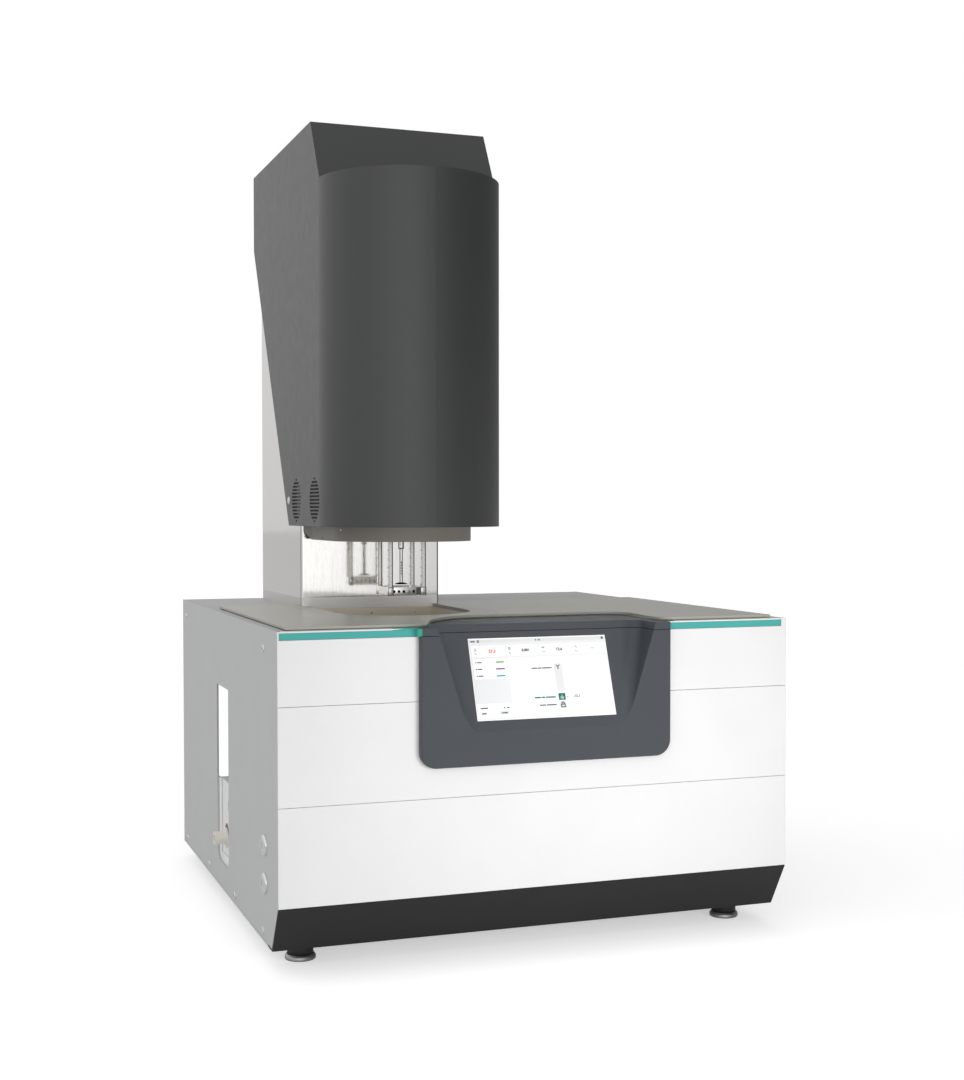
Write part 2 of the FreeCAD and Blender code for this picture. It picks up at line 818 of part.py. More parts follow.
def head_outline(inset):
    """Outline of the head seen from the side, moved inwards by the wall."""
    points = [(head_nose_y - head_radius, head_bottom), (head_nose_y - head_radius, head_rim),
              (axis_y - slope_ahead, head_rim), (axis_y + slope_behind, head_top), (head_back, head_top),
              (head_back, head_top - kink_drop), (column_front - head_overhang, head_bottom)]
    wire = Part.makePolygon([Vector(head_left - 5, y, z) for y, z in points + points[:1]])
    if inset:
        wire = wire.makeOffset2D(-inset, 2)
    return Part.Face(wire).extrude(Vector(2 * head_radius + 10, 0, 0))


def head_solid(inset):
    plan = u_shape(head_nose_y, head_radius - inset, head_back, head_bottom - 10, head_top + 10)
    return plan.common(head_outline(inset))


def vent_cuts(x0, x1):
    """Round fields of small holes on a staggered grid."""
    holes = []
    rows = int(vent_radius / vent_pitch)
    for y0 in vent_places:
        for row in range(-rows, rows + 1):
            for step in range(-rows, rows + 1):
                dy = vent_pitch * (step + 0.5 * (row % 2))
                dz = vent_pitch * row
                if math.hypot(dy, dz) < vent_radius:
                    holes.append(prism_x(x0, x1, y0 + dy, vent_height + dz, vent_hole, 6))
    return Part.makeCompound(holes)


def head_cover():
    shell = head_solid(0).cut(head_solid(cover_wall))
    mouth = u_shape(head_nose_y, head_radius - cover_wall, column_front, head_bottom - 1, head_bottom + base_plate)
    shell = cut(shell, mouth, column_outline(head_bottom - 1, head_top - kink_drop, 1.0))
    return shell.cut(vent_cuts(head_left - 1, head_left + cover_wall + 1))


def head_base_plate():
    radius = head_radius - cover_wall - base_gap
    plate = u_shape(head_nose_y, radius, column_front, head_bottom, head_bottom + base_plate)
    return plate.cut(post(axis_x, axis_y, head_bottom - 1, head_bottom + base_plate + 1, rod_main + running))


def head_ring():
    """Ring under the head, with two cheeks that spread out towards the column."""
    ring = u_shape(axis_y, ring_radius, ring_back, ring_bottom, head_bottom)
    ring = ring.cut(post(axis_x, axis_y, ring_bottom - 1, head_bottom + 1, ring_mouth))
    profile = [(ring_back, ring_bottom), (column_front, ring_bottom + cheek_rise),
               (column_front, head_bottom), (ring_back, head_bottom)]
    for hand in (-1, 1):
        near, far = axis_x + hand * ring_radius, axis_x + hand * cheek_offset
        wall = hand * cheek_wall
        plan = plan_sheet([(near, ring_back), (far, column_front), (far - wall, column_front),
                           (near - wall, ring_back)], ring_bottom, head_bottom)
        ring = ring.fuse(plan.common(side_sheet(profile, axis_x - cheek_offset, axis_x + cheek_offset)))
    link = box(axis_x - ring_radius, axis_x + ring_radius, ring_back - ring_link, ring_back,
               ring_bottom + cheek_wall / 2, head_bottom)
    return fuse(ring, link)


def sample_frame():
    """Four drilled bars that carry a drilled rectangular beam."""
    parts = []
    half = bar_side / 2
    for hx in (-1, 1):
        for hy in (-1, 1):
            x, y = axis_x + hx * bar_x, axis_y + hy * bar_y
            bar = box(x - half, x + half, y - half, y + half, beam_bottom, head_bottom)
            z = beam_top + half
            while z < ring_bottom:
                bar = bar.cut(prism_x(x - bar_side, x + bar_side, y, z, bar_hole, 6))
                z += bar_hole_pitch
            parts.append(bar)
    for hy in (-1, 1):
        y = axis_y + hy * bar_y
        beam = box(axis_x - bar_x, axis_x + bar_x, y - half, y + half, beam_bottom, beam_top)
        for k in range(beam_hole_count):
            x = axis_x + (k - (beam_hole_count - 1) / 2) * beam_hole_pitch
            beam = beam.cut(prism_y(x, y - bar_side, y + bar_side, beam_bottom + beam_height / 2, beam_hole, 10))
        parts.append(beam)
    for hx in (-1, 1):
        x = axis_x + hx * bar_x
        parts.append(box(x - half, x + half, axis_y - bar_y, axis_y + bar_y, beam_bottom, beam_top))
    return fuse(*parts)


def push_rod():
    """Clamp, thin drilled rod and the main rod up to the force sensor."""
    thin = post(axis_x, axis_y, plate_bottom + plate_rim + plate_cone, clamp_bottom, rod_thin)
    for k in range(rod_hole_count):
        z = plate_bottom + rod_hole_start + rod_hole_pitch * k
        thin = thin.cut(prism_y(axis_x, axis_y - 2 * rod_thin, axis_y + 2 * rod_thin, z, rod_hole, 6))
    clamp = post(axis_x, axis_y, clamp_bottom, head_bottom - bar_side, rod_clamp)
    main = post(axis_x, axis_y, head_bottom - bar_side, sensor_bottom, rod_main)
    return fuse(thin, clamp, main)


def push_plate():
    rim = post(axis_x, axis_y, plate_bottom, plate_bottom + plate_rim, plate_radius)
    cone = Part.makeCone(plate_radius, rod_thin + 0.6, plate_cone, Vector(axis_x, axis_y, plate_bottom + plate_rim))
    return fuse(rim, cone)


def force_sensor():
    """Ring-type load cell with two waisted beams."""
    w = sensor_window
    z0, z1 = sensor_bottom, sensor_bottom + sensor_height
    body = post(axis_x, axis_y, z0, z1, sensor_radius)
    y0, y1 = axis_y - 2 * sensor_radius, axis_y + 2 * sensor_radius
    middle = (z0 + z1) / 2
    window = box(axis_x - w, axis_x + w, y0, y1, middle - w / 2, middle + w / 2)
    ends = [rod_y(axis_x + s * w, y0, y1, middle, w / 2) for s in (-1, 1)]
    return cut(body, window, *ends)


def drive_spindle():
    spindle = post(axis_x, axis_y, sensor_bottom + sensor_height, spider_bottom, rod_main)
    core = post(axis_x, axis_y, spider_bottom + spider, core_top, core_radius)
    return Part.makeCompound([spindle, core])


def drive_coil():
    """Spoked disc that carries the coil former into the magnet's gap."""
    disc = post(axis_x, axis_y, spider_bottom, spider_bottom + spider, coil_outer)
    for k in range(6):
        hole = prism_z(axis_x + coil_window_at, axis_y, spider_bottom - 1, spider_bottom + spider + 1, coil_window, 8)
        hole.rotate(Vector(axis_x, axis_y, 0), Vector(0, 0, 1), 60 * k)
        disc = disc.cut(hole)
    return fuse(disc, tube(axis_x, axis_y, spider_bottom + spider, coil_top, coil_outer, coil_outer - coil_wall))


def drive_magnet():
    body = post(axis_x, axis_y, magnet_bottom, magnet_top, magnet_radius)
    gap = tube(axis_x, axis_y, magnet_bottom - 1, coil_top + push_up + 15, gap_outer, gap_inner)
    bore = post(axis_x, axis_y, magnet_bottom - 1, magnet_top + 1, core_radius + 1)
    return cut(body, gap, bore)


def displacement_sensor():
    return tube(axis_x, axis_y, magnet_top, gauge_top, gauge_radius, core_radius + running)


def frame_sheet(z0, z1, hole):
    plate = box(axis_x - frame_half, axis_x + frame_half, axis_y - frame_reach, axis_y + frame_reach, z0, z1)
    plate = plate.makeFillet(frame_corner, upright_edges(plate, z1 - z0))
    return plate.cut(post(axis_x, axis_y, z0 - 1, z1 + 1, hole))


def drive_frame():
    """Two plates on four posts, standing on the head's base plate."""
    z0 = head_bottom + base_plate
    parts = [frame_sheet(frame_plate_bottom, frame_plate_bottom + frame_plate, bushing_radius - 2),
             frame_sheet(magnet_plate_bottom, magnet_bottom, gap_outer + 3)]
    for hx in (-1, 1):
        for hy in (-1, 1):
            x, y = axis_x + hx * frame_post_x, axis_y + hy * frame_post_y
            parts.append(post(x, y, z0, magnet_plate_bottom, frame_post))
    return fuse(*parts)


def guide_bushings():
    places = (head_bottom + base_plate, frame_plate_bottom + frame_plate)
    return Part.makeCompound([tube(axis_x, axis_y, z, z + bushing_height, bushing_radius, rod_main + running)
                              for z in places])


def head_board():
    """Printed board on four standoffs beside the drive frame."""
    x0 = axis_x + frame_half
    x1 = x0 + standoff
    x2 = x1 + board
    low, high = frame_plate_bottom + frame_plate / 2, magnet_plate_bottom + magnet_plate / 2
    y0, y1 = axis_y - frame_reach + frame_corner, axis_y + frame_reach - frame_corner
    margin = 0.6 * chip
    parts = [box(x1, x2, y0, y1, low - margin, high + margin)]
    for y in (y0 + margin / 2, y1 - margin / 2):
        for z in (low, high):
            parts.append(prism_x(x0, x1, y, z, standoff_radius, 6))
    middle = (low + high) / 2
    for dy, dz, wide, tall, proud in ((-0.25, -0.5, 0.75, 0.75, 0.11), (0.62, 0.5, 0.5, 1.25, 0.18),
                                      (-0.87, 0.62, 0.6, 0.5, 0.16)):
        y, z = axis_y + dy * chip, middle + dz * chip
        parts.append(box(x2, x2 + proud * chip, y - wide * chip / 2, y + wide * chip / 2,
                         z - tall * chip / 2, z + tall * chip / 2))
    return fuse(*parts)


def column():
    """Folded sheet column with a closed top."""
    outer = column_outline(body_top, column_top, 0)
    outer = outer.makeFillet(column_fold, upright_edges(outer, column_top - body_top))
    return outer.cut(column_outline(body_top - 1, column_top - column_wall, -column_wall))


def lift_frame():
    """Welded frame from tray to deck: it carries the column above and the guide rails in front."""
    y0, y1 = lift_plate_front, lift_plate_front + lift_plate
    y2 = column_back - 2 * rib
    y3 = y2 - 10 * rib
    top_sheet = deck_bottom - 3 * sheet
    parts = [box(axis_x - lift_half, axis_x + lift_half, y0, y1, underside, deck_bottom)]
    half = column_half - 2 * sheet
    top = box(axis_x - half, axis_x + half, column_front + 3 * sheet, column_back - 3 * sheet, top_sheet, deck_bottom)
    parts.append(top.cut(post(axis_x, screw_y, top_sheet - 1, deck_bottom + 1, coupling_radius + 2)))
    gusset = 8 * rib
    outline = [(y1, underside), (y2, underside), (y2, underside + gusset), (y3, underside + 2 * gusset),
               (y3, deck_bottom - 2 * gusset), (y2, deck_bottom - gusset), (y2, top_sheet), (y1, top_sheet)]
    for hand in (-1, 1):
        xa, xb = sorted((axis_x + hand * lift_half, axis_x + hand * (lift_half - rib)))
        parts.append(side_sheet(outline, xa, xb))
    return fuse(*parts)


def guide_rails():
    rails = []
    for hand in (-1, 1):
        x = axis_x + hand * rail_offset
        rails.append(box(x - rail_wide / 2, x + rail_wide / 2, lift_plate_front - rail_high, lift_plate_front,
                         underside + 20, deck_bottom - 10))
    return Part.makeCompound(rails)


def screw_bearings():
    top_sheet = deck_bottom - 3 * sheet
    low = tube(axis_x, screw_y, underside, underside + rail_high * 2, bearing_radius, screw_radius + running)
    low = low.cut(post(axis_x, screw_y, underside - 1, underside + 2 * sheet, screw_radius + 2))
    high = tube(axis_x, screw_y, top_sheet - rail_wide, top_sheet, bearing_radius, screw_radius + running)
    return Part.makeCompound([low, high])


def lead_screw():
    """Screw with its shaft coupling on top."""
    screw = post(axis_x, screw_y, underside + 2 * sheet + 1, deck_bottom + 10, screw_radius)
    jaw = post(axis_x, screw_y, deck_bottom + 2 * sheet, deck_bottom + standoff_height - 2 * sheet, coupling_radius)
    return fuse(screw, jaw)


def lift_motor():
    z0 = deck_bottom + standoff_height
    h = motor_size / 2
    corner = motor_size * 0.09
    body = box(axis_x - h, axis_x + h, screw_y - h, screw_y + h, z0, z0 + motor_height)
    body = body.makeFillet(corner, upright_edges(body, motor_height))
    parts = [body, post(axis_x, screw_y, z0 - sheet, z0, motor_size * 0.34),
             post(axis_x, screw_y, z0 - 2 * sheet + seam, z0, screw_radius - sheet)]
    for hx in (-1, 1):
        for hy in (-1, 1):
            parts.append(prism_z(axis_x + hx * (h - corner), screw_y + hy * (h - corner), deck_bottom, z0, standoff_radius, 6))
    return fuse(*parts)


def lift_carriage():
    """Plate, two arms to the furnace base, a nut shelf and four rail blocks."""
    y0, y1 = carriage_front, carriage_front + carriage_plate
    z0, z1 = carriage_bottom, carriage_bottom + carriage_height
    arm_outer = carriage_half - 5
    shelf_z = z0 + nut_shelf
    parts = [box(axis_x - carriage_half, axis_x + carriage_half, y0, y1, z0, z1)]
    arm = [(furnace_back, z0 + 4), (y0, z0 + 4), (y0, z1), (y0 - 20, z1), (furnace_back, furnace_bottom - 6)]
    for hand in (-1, 1):
        xa, xb = sorted((axis_x + hand * arm_outer, axis_x + hand * (arm_outer - arm_wall)))
        parts.append(side_sheet(arm, xa, xb))
    shelf = box(axis_x - 25, axis_x + 25, screw_y - 22, y0, shelf_z, shelf_z + carriage_plate)
    parts.append(shelf.cut(post(axis_x, screw_y, z0, z1, nut_radius + running)))
    for hand in (-1, 1):
        x = axis_x + hand * rail_offset
        for z in (z0 + 4, z1 - block_height - 4):
            block = box(x - block_half, x + block_half, y1, lift_plate_front - sheet, z, z + block_height)
            channel = box(x - rail_wide / 2 - running, x + rail_wide / 2 + running,
                          lift_plate_front - rail_high - running, lift_plate_front, z - 1, z + block_height + 1)
            parts.append(block.cut(channel))
    return fuse(*parts)


def lift_nut():
    z = carriage_bottom + nut_shelf
    nut = fuse(post(axis_x, screw_y, z - 6, z, nut_flange), post(axis_x, screw_y, z, z + nut_height, nut_radius))
    return nut.cut(post(axis_x, screw_y, z - 10, z + nut_height + 1, screw_radius + running))


def furnace_housing():
    z1 = furnace_top - seal_thickness - top_plate
    outer = u_shape(axis_y, furnace_radius, furnace_back, furnace_bottom, z1)
    hollow = u_shape(axis_y, furnace_radius - furnace_sheet, furnace_back - furnace_sheet, furnace_bottom - 1, z1 + 1)
    return outer.cut(hollow)


def furnace_top_plate():
    z1 = furnace_top - seal_thickness
    plate = u_shape(axis_y, furnace_radius, furnace_back, z1 - top_plate, z1)
    return plate.cut(post(axis_x, axis_y, z1 - top_plate - 1, z1 + 1, chamber_radius + chamber_wall))


def furnace_seal():
    bore = chamber_radius + seal_land
    return tube(axis_x, axis_y, furnace_top - seal_thickness, furnace_top, bore + seal_width, bore)


def furnace_insulation():
    """Fibre block around the chamber, with a wide bore for the heater."""
    z0, z1 = furnace_bottom, furnace_top - seal_thickness - top_plate
    gap = furnace_sheet + side_gap
    block = u_shape(axis_y, furnace_radius - gap, furnace_back - gap, z0, z1)
    return block.cut(post(axis_x, axis_y, chamber_floor, z1 + 1, heater_radius + heater_thickness + 1))


def furnace_liner():
    """Steel cup that holds the sample chamber; its lip lies in the top plate's bore."""
    z0, z1 = chamber_floor, furnace_top - seal_thickness
    cup = post(axis_x, axis_y, z0, z1, chamber_radius + chamber_wall - running)
    return cup.cut(post(axis_x, axis_y, z0 + chamber_wall, z1 + 1, chamber_radius))


def heating_element():
    """Resistance strip in one meander: upright strips around the chamber, linked above and below in turn."""
    z0 = chamber_floor + heater_margin
    z1 = furnace_top - seal_thickness - top_plate - heater_margin
    turn = 360.0 / heater_strips
    half_link = heater_radius * math.sin(math.radians(turn / 2))
    link_at = heater_radius * math.cos(math.radians(turn / 2))
    centre, up = Vector(axis_x, axis_y, 0), Vector(0, 0, 1)
    parts = []
    for k in range(heater_strips):
        low = chamber_floor if k in (0, heater_strips - 1) else z0
        x0 = axis_x + heater_radius
        strip = box(x0, x0 + heater_thickness, axis_y - heater_strip / 2, axis_y + heater_strip / 2, low, z1)
        strip.rotate(centre, up, turn * k)
        parts.append(strip)
        if k < heater_strips - 1:
            z = z0 if k % 2 else z1 - heater_strip
            x0 = axis_x + link_at
            link = box(x0, x0 + heater_thickness, axis_y - half_link, axis_y + half_link, z, z + heater_strip)
            link.rotate(centre, up, turn * (k + 0.5))
            parts.append(link)
    return fuse(*parts)


def furnace_base():
    """Open tray under the furnace, with the carriage bolted to its back."""
    outer = u_shape(axis_y, furnace_radius, furnace_back, base_bottom, furnace_bottom)
    hollow = u_shape(axis_y, furnace_radius - furnace_sheet, furnace_back - furnace_sheet,
                     base_bottom + furnace_sheet, furnace_bottom + 1)
    return outer.cut(hollow)


def coolant_box():
    """Duct from the nozzle to the furnace base, with a round window in its outer face."""
    t = box_sheet
    x1 = axis_x - furnace_radius
    z0, z1 = base_bottom - box_drop, furnace_bottom
    outer = box(box_left, x1, box_front, furnace_back, z0, z1)
    hollow = box(box_left + t, x1 - t, box_front + t, furnace_back - t, z0 + t, z1 - t)
    window = rod_x(box_left - 1, box_left + 2 * t, nozzle_y - 2 * port_window, z1 - 26, port_window)
    throat = rod_x(box_left - 1, box_left + 2 * t, nozzle_y, nozzle_z, nozzle_radius - sheet)
    return cut(outer, hollow, window, throat)


def coolant_nozzle():
    body = fuse(rod_x(nozzle_end, box_left, nozzle_y, nozzle_z, nozzle_radius),
                rod_x(box_left - collar_height, box_left, nozzle_y, nozzle_z, nozzle_collar))
    return body.cut(rod_x(nozzle_end - 1, box_left + 1, nozzle_y, nozzle_z, nozzle_bore))


def feet():
    solids = []
    for hx in (-1, 1):
        for hy in (-1, 1):
            x, y = hx * foot_x, hy * foot_y
            disc = post(x, y, 0, foot_disc, foot_radius)
            disc = disc.makeChamfer(foot_disc / 4, [e for e in disc.Edges if e.BoundBox.ZMin > foot_disc - 1e-6])
            solids.append(fuse(disc, post(x, y, foot_disc, foot_disc + foot_cap, foot_cap_radius),
                               post(x, y, foot_disc, underside + foot_nut + 1.5, foot_stem)))
    return Part.makeCompound(solids)


def gas_ports():
    ports = []
    x1 = -inner + port_depth
    for z in port_heights:
        flange = rod_x(-side - port_proud, -side, port_y, z, port_radius)
        neck = rod_x(-side, x1, port_y, z, port_neck)
        ports.append(fuse(flange, neck).cut(rod_x(-side - port_proud - 1, x1 + 1, port_y, z, port_bore)))
    return Part.makeCompound(ports)


def gas_block():
    """Valve block with two solenoid coils; the ports screw into its left face."""
    half = 2 * port_radius
    x0 = -inner + port_depth
    x1 = x0 + 3 * port_radius
    z0, z1 = port_heights[0] - block_margin, port_heights[-1] + block_margin
    block = box(x0, x1, port_y - half, port_y + half, z0, z1)
    for z in port_heights:
        block = block.cut(rod_x(x0 - 1, x0 + 2 * half / 3, port_y, z, port_bore - 0.5))
        block = block.fuse(rod_x(x1, x1 + coil_length, port_y, z, port_radius + 2))
    foot = floor_z + tray_flange + bar_thickness + side_gap
    return fuse(block, box(x0, x1, port_y - half, port_y + half, foot, z0))


def power_supply():
    x1 = rear_fan_x + supply_width - supply_overhang
    y1 = supply_front + supply_length
    case = box(x1 - supply_width, x1, supply_front, y1, underside, underside + supply_height)
    terminal = box(x1 - terminal_margin - terminal_width, x1 - terminal_margin, y1, y1 + terminal_depth,
                   underside + terminal_depth / 2, underside + supply_height / 2)
    return fuse(case, terminal)


def control_board():
    z = underside + standoff
    x1 = inner - 3 * boss_radius
    x0 = x1 - board_width
    y1 = supply_front - board_gap
    y0 = y1 - board_length
    z1 = z + board
    parts = [box(x0, x1, y0, y1, z, z1)]
    for x in (x0 + board_edge, x1 - board_edge):
        for y in (y0 + board_edge, y1 - board_edge):
            parts.append(prism_z(x, y, underside, z, standoff_radius, 6))
    for across, along, size, proud in ((0.43, 0.45, chip, 2.4), (0.75, 0.24, 0.88 * chip, 1.9)):
        x, y, half = x0 + across * board_width, y0 + along * board_length, size / 2
        parts.append(box(x - half, x + half, y - half, y + half, z1, z1 + proud))
    for k in range(4):
        x = x0 + (0.07 + 0.16 * k) * board_width
        parts.append(box(x, x + 0.6 * chip, y1 - 0.45 * chip, y1 - 0.05 * chip, z1, z1 + chip / 4))
    for k in range(3):
        parts.append(post(x0 + 0.14 * board_width, y0 + (0.15 + 0.13 * k) * board_length, z1, z1 + 0.46 * chip, chip / 5))
    return fuse(*parts)


def mains_inlet():
    """Inlet socket, fuse drawer and the frame of the rocker switch in one module."""
    y1 = back + sheet
    wide, high = inlet_wide / 2, inlet_high / 2
    flange = inlet_flange
    rim = box(inlet_x - wide - flange, inlet_x + wide + flange, back, y1,
              inlet_z - high - flange, inlet_z + high + flange)
    body = rim.fuse(box(inlet_x - wide, inlet_x + wide, back - inlet_deep, back, inlet_z - high, inlet_z + high))
    socket = box(inlet_x - 20, inlet_x + 3, back - 16, y1 + 1, inlet_z - 9, inlet_z + 9)
    rocker_hole = box(inlet_x + 7, inlet_x + 21, back - 12, y1 + 1, inlet_z - 10.5, inlet_z + 10.5)
    body = cut(body, socket, rocker_hole)
    for dx, dz in ((-8.5, 3.5), (-15.5, -2.5), (-1.5, -2.5)):
        body = body.fuse(box(inlet_x + dx - 1, inlet_x + dx + 1, back - 16, back, inlet_z + dz - 2, inlet_z + dz + 2))
    return body.removeSplitter()


def mains_rocker():
    """Rocker that lies tipped to one side on its pivot pin."""
    x0, x1 = inlet_x + 7 + side_gap, inlet_x + 21 - side_gap
    outline = [(back - 8, inlet_z - 3), (back - 2.5, inlet_z - 9), (back + 2.0, inlet_z - 9), (back + 0.6, inlet_z),
               (back + 2.0, inlet_z + 9), (back - 2.5, inlet_z + 9), (back - 8, inlet_z + 3)]
    rocker = side_sheet(outline, x0, x1)
    pin = rod_x(x0 - side_gap + running, x1 + side_gap - running, back - 4, inlet_z, rocker_pin)
    rocker = fuse(rocker, pin)
    rocker.rotate(Vector(0, back - 4, inlet_z), Vector(1, 0, 0), rocker_tilt)
    return rocker


def data_ports():
    """Two sockets in one carrier plate."""
    x1 = inlet_x - data_gap
    x0 = x1 - data_wide
    tall = data_high / 2
    body = fuse(box(x0 - 4, x1 + 4, back, back + 1.5, inlet_z - tall - 4, inlet_z + tall + 4),
                box(x0, x1, back - 14, back, inlet_z - tall, inlet_z + tall))
    for x in (x0 + 8, x0 + 36):
        body = body.cut(box(x, x + 16, back - 11, back + 2, inlet_z - tall + 2, inlet_z + tall - 2))
    return body


def side_screws():
    """Button-head screws along both side panels."""
    high = body_top - screw_drop
    low = underside + screw_rise
    pitch = (depth - low_row_front - low_row_rear) / (low_row_count - 1)
    rows = [(back - high_row_rear, high), (front + high_row_front, high)]
    rows += [(front + low_row_front + pitch * k, low) for k in range(low_row_count)]
    screws = []
    for hand in (-1, 1):
        for y, z in rows:
            x0, x1 = sorted((hand * side, hand * (side + screw_head)))
            screws.append(prism_x(x0, x1, y, z, screw_head_radius, 8))
    return Part.makeCompound(screws)


def side_cap():
    return rod_x(head_left - cap_height, head_left, axis_y + cap_behind, vent_height, cap_radius)


bezel_low, bezel_high, screen_glass, screen_module = display_parts()
side_turn = Vector(0, 1, 0)
back_turn = Vector(1, 0, 0)
head_fan_x = head_left + cover_wall + fan_gap + fan_depth
head_frames = [place_fan(fan_frame(fan_size, fan_depth), head_fan_x, y, vent_height, side_turn, -90)
               for y in vent_places]
head_rotors = [place_fan(fan_rotor(fan_size, fan_depth), head_fan_x, y, vent_height, side_turn, -90)
               for y in vent_places]
rear_fan_y = back - sheet - rear_fan_depth - fan_gap
rear_frame = place_fan(fan_frame(rear_fan_size, rear_fan_depth), rear_fan_x, rear_fan_y, rear_fan_z, back_turn, -90)
rear_rotor = place_fan(fan_rotor(rear_fan_size, rear_fan_depth), rear_fan_x, rear_fan_y, rear_fan_z, back_turn, -90)
seams = [plinth_top + panel_pitch * k for k in range(3)]

nodes = {
    "base_tray": base_tray(),
    "inner_frame": Part.makeCompound([front_cross_bar(), corner_posts()]),
    "left_side_panel": left_side_panel(),
    "right_side_panel": side_panel(1),
    "front_panel_lower": front_panel(seams[0], seams[1] - seam),
    "front_panel_middle": front_panel(seams[1], seams[2] - seam),
    "front_panel_upper": upper_front_panel(seams[2], body_top - strip_lip - strip_height - seam),
    "trim_strip": trim_strip(),
    "plinth": plinth(),
    "feet": feet(),
    "rear_panel": rear_panel(),
    "side_fasteners": Part.makeCompound([side_screws(), side_cap()]),
    "deck_plate": deck_plate(),
    "deck_cover": deck_cover(),
    "opening_ring": opening_ring(),
    "shaft_liner": shaft_liner(),
    "display_bezel": bezel_low,
    "display_shelf": bezel_high,
    "display_screen": screen_glass,
    "display_module": screen_module,
    "column": column(),
    "head_base_plate": head_base_plate(),
    "head_ring": head_ring(),
    "head_cover": head_cover(),
    "sample_frame": sample_frame(),
    "drive_frame": drive_frame(),
    "drive_magnet": drive_magnet(),
    "displacement_sensor": displacement_sensor(),
    "guide_bushings": guide_bushings(),
    "circuit_boards": Part.makeCompound([control_board(), head_board()]),
    "fan_frames": Part.makeCompound(head_frames + [rear_frame, fan_guard()]),
    "head_fan_rotor_rear": head_rotors[0],
    "head_fan_rotor_front": head_rotors[1],
    "rear_fan_rotor": rear_rotor,
    "push_rod": push_rod(),
    "push_plate": push_plate(),
    "force_sensor": force_sensor(),
    "drive_spindle": drive_spindle(),
    "drive_coil": drive_coil(),
    "lift_frame": lift_frame(),
    "guide_rails": guide_rails(),
    "screw_bearings": screw_bearings(),
    "lead_screw": lead_screw(),
    "lift_motor": lift_motor(),
    "lift_carriage": lift_carriage(),
    "lift_nut": lift_nut(),
    "furnace_housing": furnace_housing(),
    "furnace_top_plate": furnace_top_plate(),
    "furnace_seal": furnace_seal(),
    "furnace_insulation": furnace_insulation(),
    "furnace_liner": furnace_liner(),
    "heating_element": heating_element(),
    "furnace_base": furnace_base(),
    "coolant_box": coolant_box(),
    "coolant_nozzle": coolant_nozzle(),
    "gas_ports": gas_ports(),
    "gas_block": gas_block(),
    "power_supply": power_supply(),
    "rear_sockets": Part.makeCompound([mains_inlet(), data_ports()]),
    "mains_rocker": mains_rocker(),
}

os.makedirs("parts", exist_ok=True)
for name, shape in nodes.items():
    shape.exportStep("parts/" + name + ".step")
    print(name, len(shape.Solids), all(s.isValid() for s in shape.Solids), round(shape.Volume / 1000, 1))
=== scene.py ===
import json
import math
import bpy
import bmesh
from mathutils import Matrix, Vector

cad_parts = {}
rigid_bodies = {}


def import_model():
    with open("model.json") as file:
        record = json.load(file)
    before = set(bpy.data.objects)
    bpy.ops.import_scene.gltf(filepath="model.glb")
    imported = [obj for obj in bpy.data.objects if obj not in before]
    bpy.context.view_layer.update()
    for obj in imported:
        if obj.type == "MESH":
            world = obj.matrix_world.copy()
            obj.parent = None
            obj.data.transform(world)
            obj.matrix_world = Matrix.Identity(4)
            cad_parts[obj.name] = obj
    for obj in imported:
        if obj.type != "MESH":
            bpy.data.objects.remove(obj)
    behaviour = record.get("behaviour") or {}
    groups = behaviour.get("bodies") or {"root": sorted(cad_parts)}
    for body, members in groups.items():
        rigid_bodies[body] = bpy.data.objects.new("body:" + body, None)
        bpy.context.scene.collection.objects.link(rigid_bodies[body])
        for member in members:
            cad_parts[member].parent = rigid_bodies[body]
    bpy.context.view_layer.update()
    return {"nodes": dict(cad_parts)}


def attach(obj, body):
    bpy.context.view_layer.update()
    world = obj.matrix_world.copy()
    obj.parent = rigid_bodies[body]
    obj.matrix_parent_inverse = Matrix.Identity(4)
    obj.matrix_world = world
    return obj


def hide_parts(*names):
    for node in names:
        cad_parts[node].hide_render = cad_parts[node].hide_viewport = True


for extra in list(bpy.data.objects):
    bpy.data.objects.remove(extra, do_unlink=True)

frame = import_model()
nodes = frame["nodes"]
MM = 0.001

# Places on the real object, in millimetres
side = 285.0
body_top = 345.0
cover_top = 348.6
axis_x = -95.0
axis_y = -85.5
head_left = axis_x - 103.0
vent_height = 476.0
vent_centres = (-1.0, -91.8)
column_front = 43.5
column_half = 87.0
column_span = (349.0, 799.5)

# Display: the page lies in a pocket that leans back
bezel_front = -305.5
pocket_bottom = 237.0
pocket_depth = 41.0
glass_depth = 0.3

# Gas ports and feet
port_y = -233.5
port_heights = (83.0, 122.0)
foot_places = [(x, y) for x in (-247.0, 247.0) for y in (-226.5, 226.5)]

# Sample frame: four drilled bars round the axis, held by a beam at the front and one at the rear
bar_x = 19.5
bar_y = 22.0
bar_half = 2.5
bar_span = (377.0, 445.8)
bar_signs = [(hx, hy) for hx in (-1, 1) for hy in (-1, 1)]
end_blocks = ((-117.4, -111.3), (-79.6, -72.6))
end_half = 2.9
beam_face = axis_y - 24.78
beam_centre = 372.3
rod_shoulder = 420.0

# Lead screw and coolant box
screw_y = 78.0
thread_span = (48.0, 318.0)
thread_pitch = 5.0
box_left = -282.8
box_right = -281.2
duct_low = 60.0
duct_high = 148.0


def linear(r, g, b):
    """Linear RGBA from 0-255 display values."""
    out = []
    for c in (r, g, b):
        c = c / 255.0
        out.append(c / 12.92 if c <= 0.04045 else ((c + 0.055) / 1.055) ** 2.4)
    return (*out, 1.0)


def shade(colour, factor):
    return tuple(min(1.0, c * factor) for c in colour[:3]) + (1.0,)


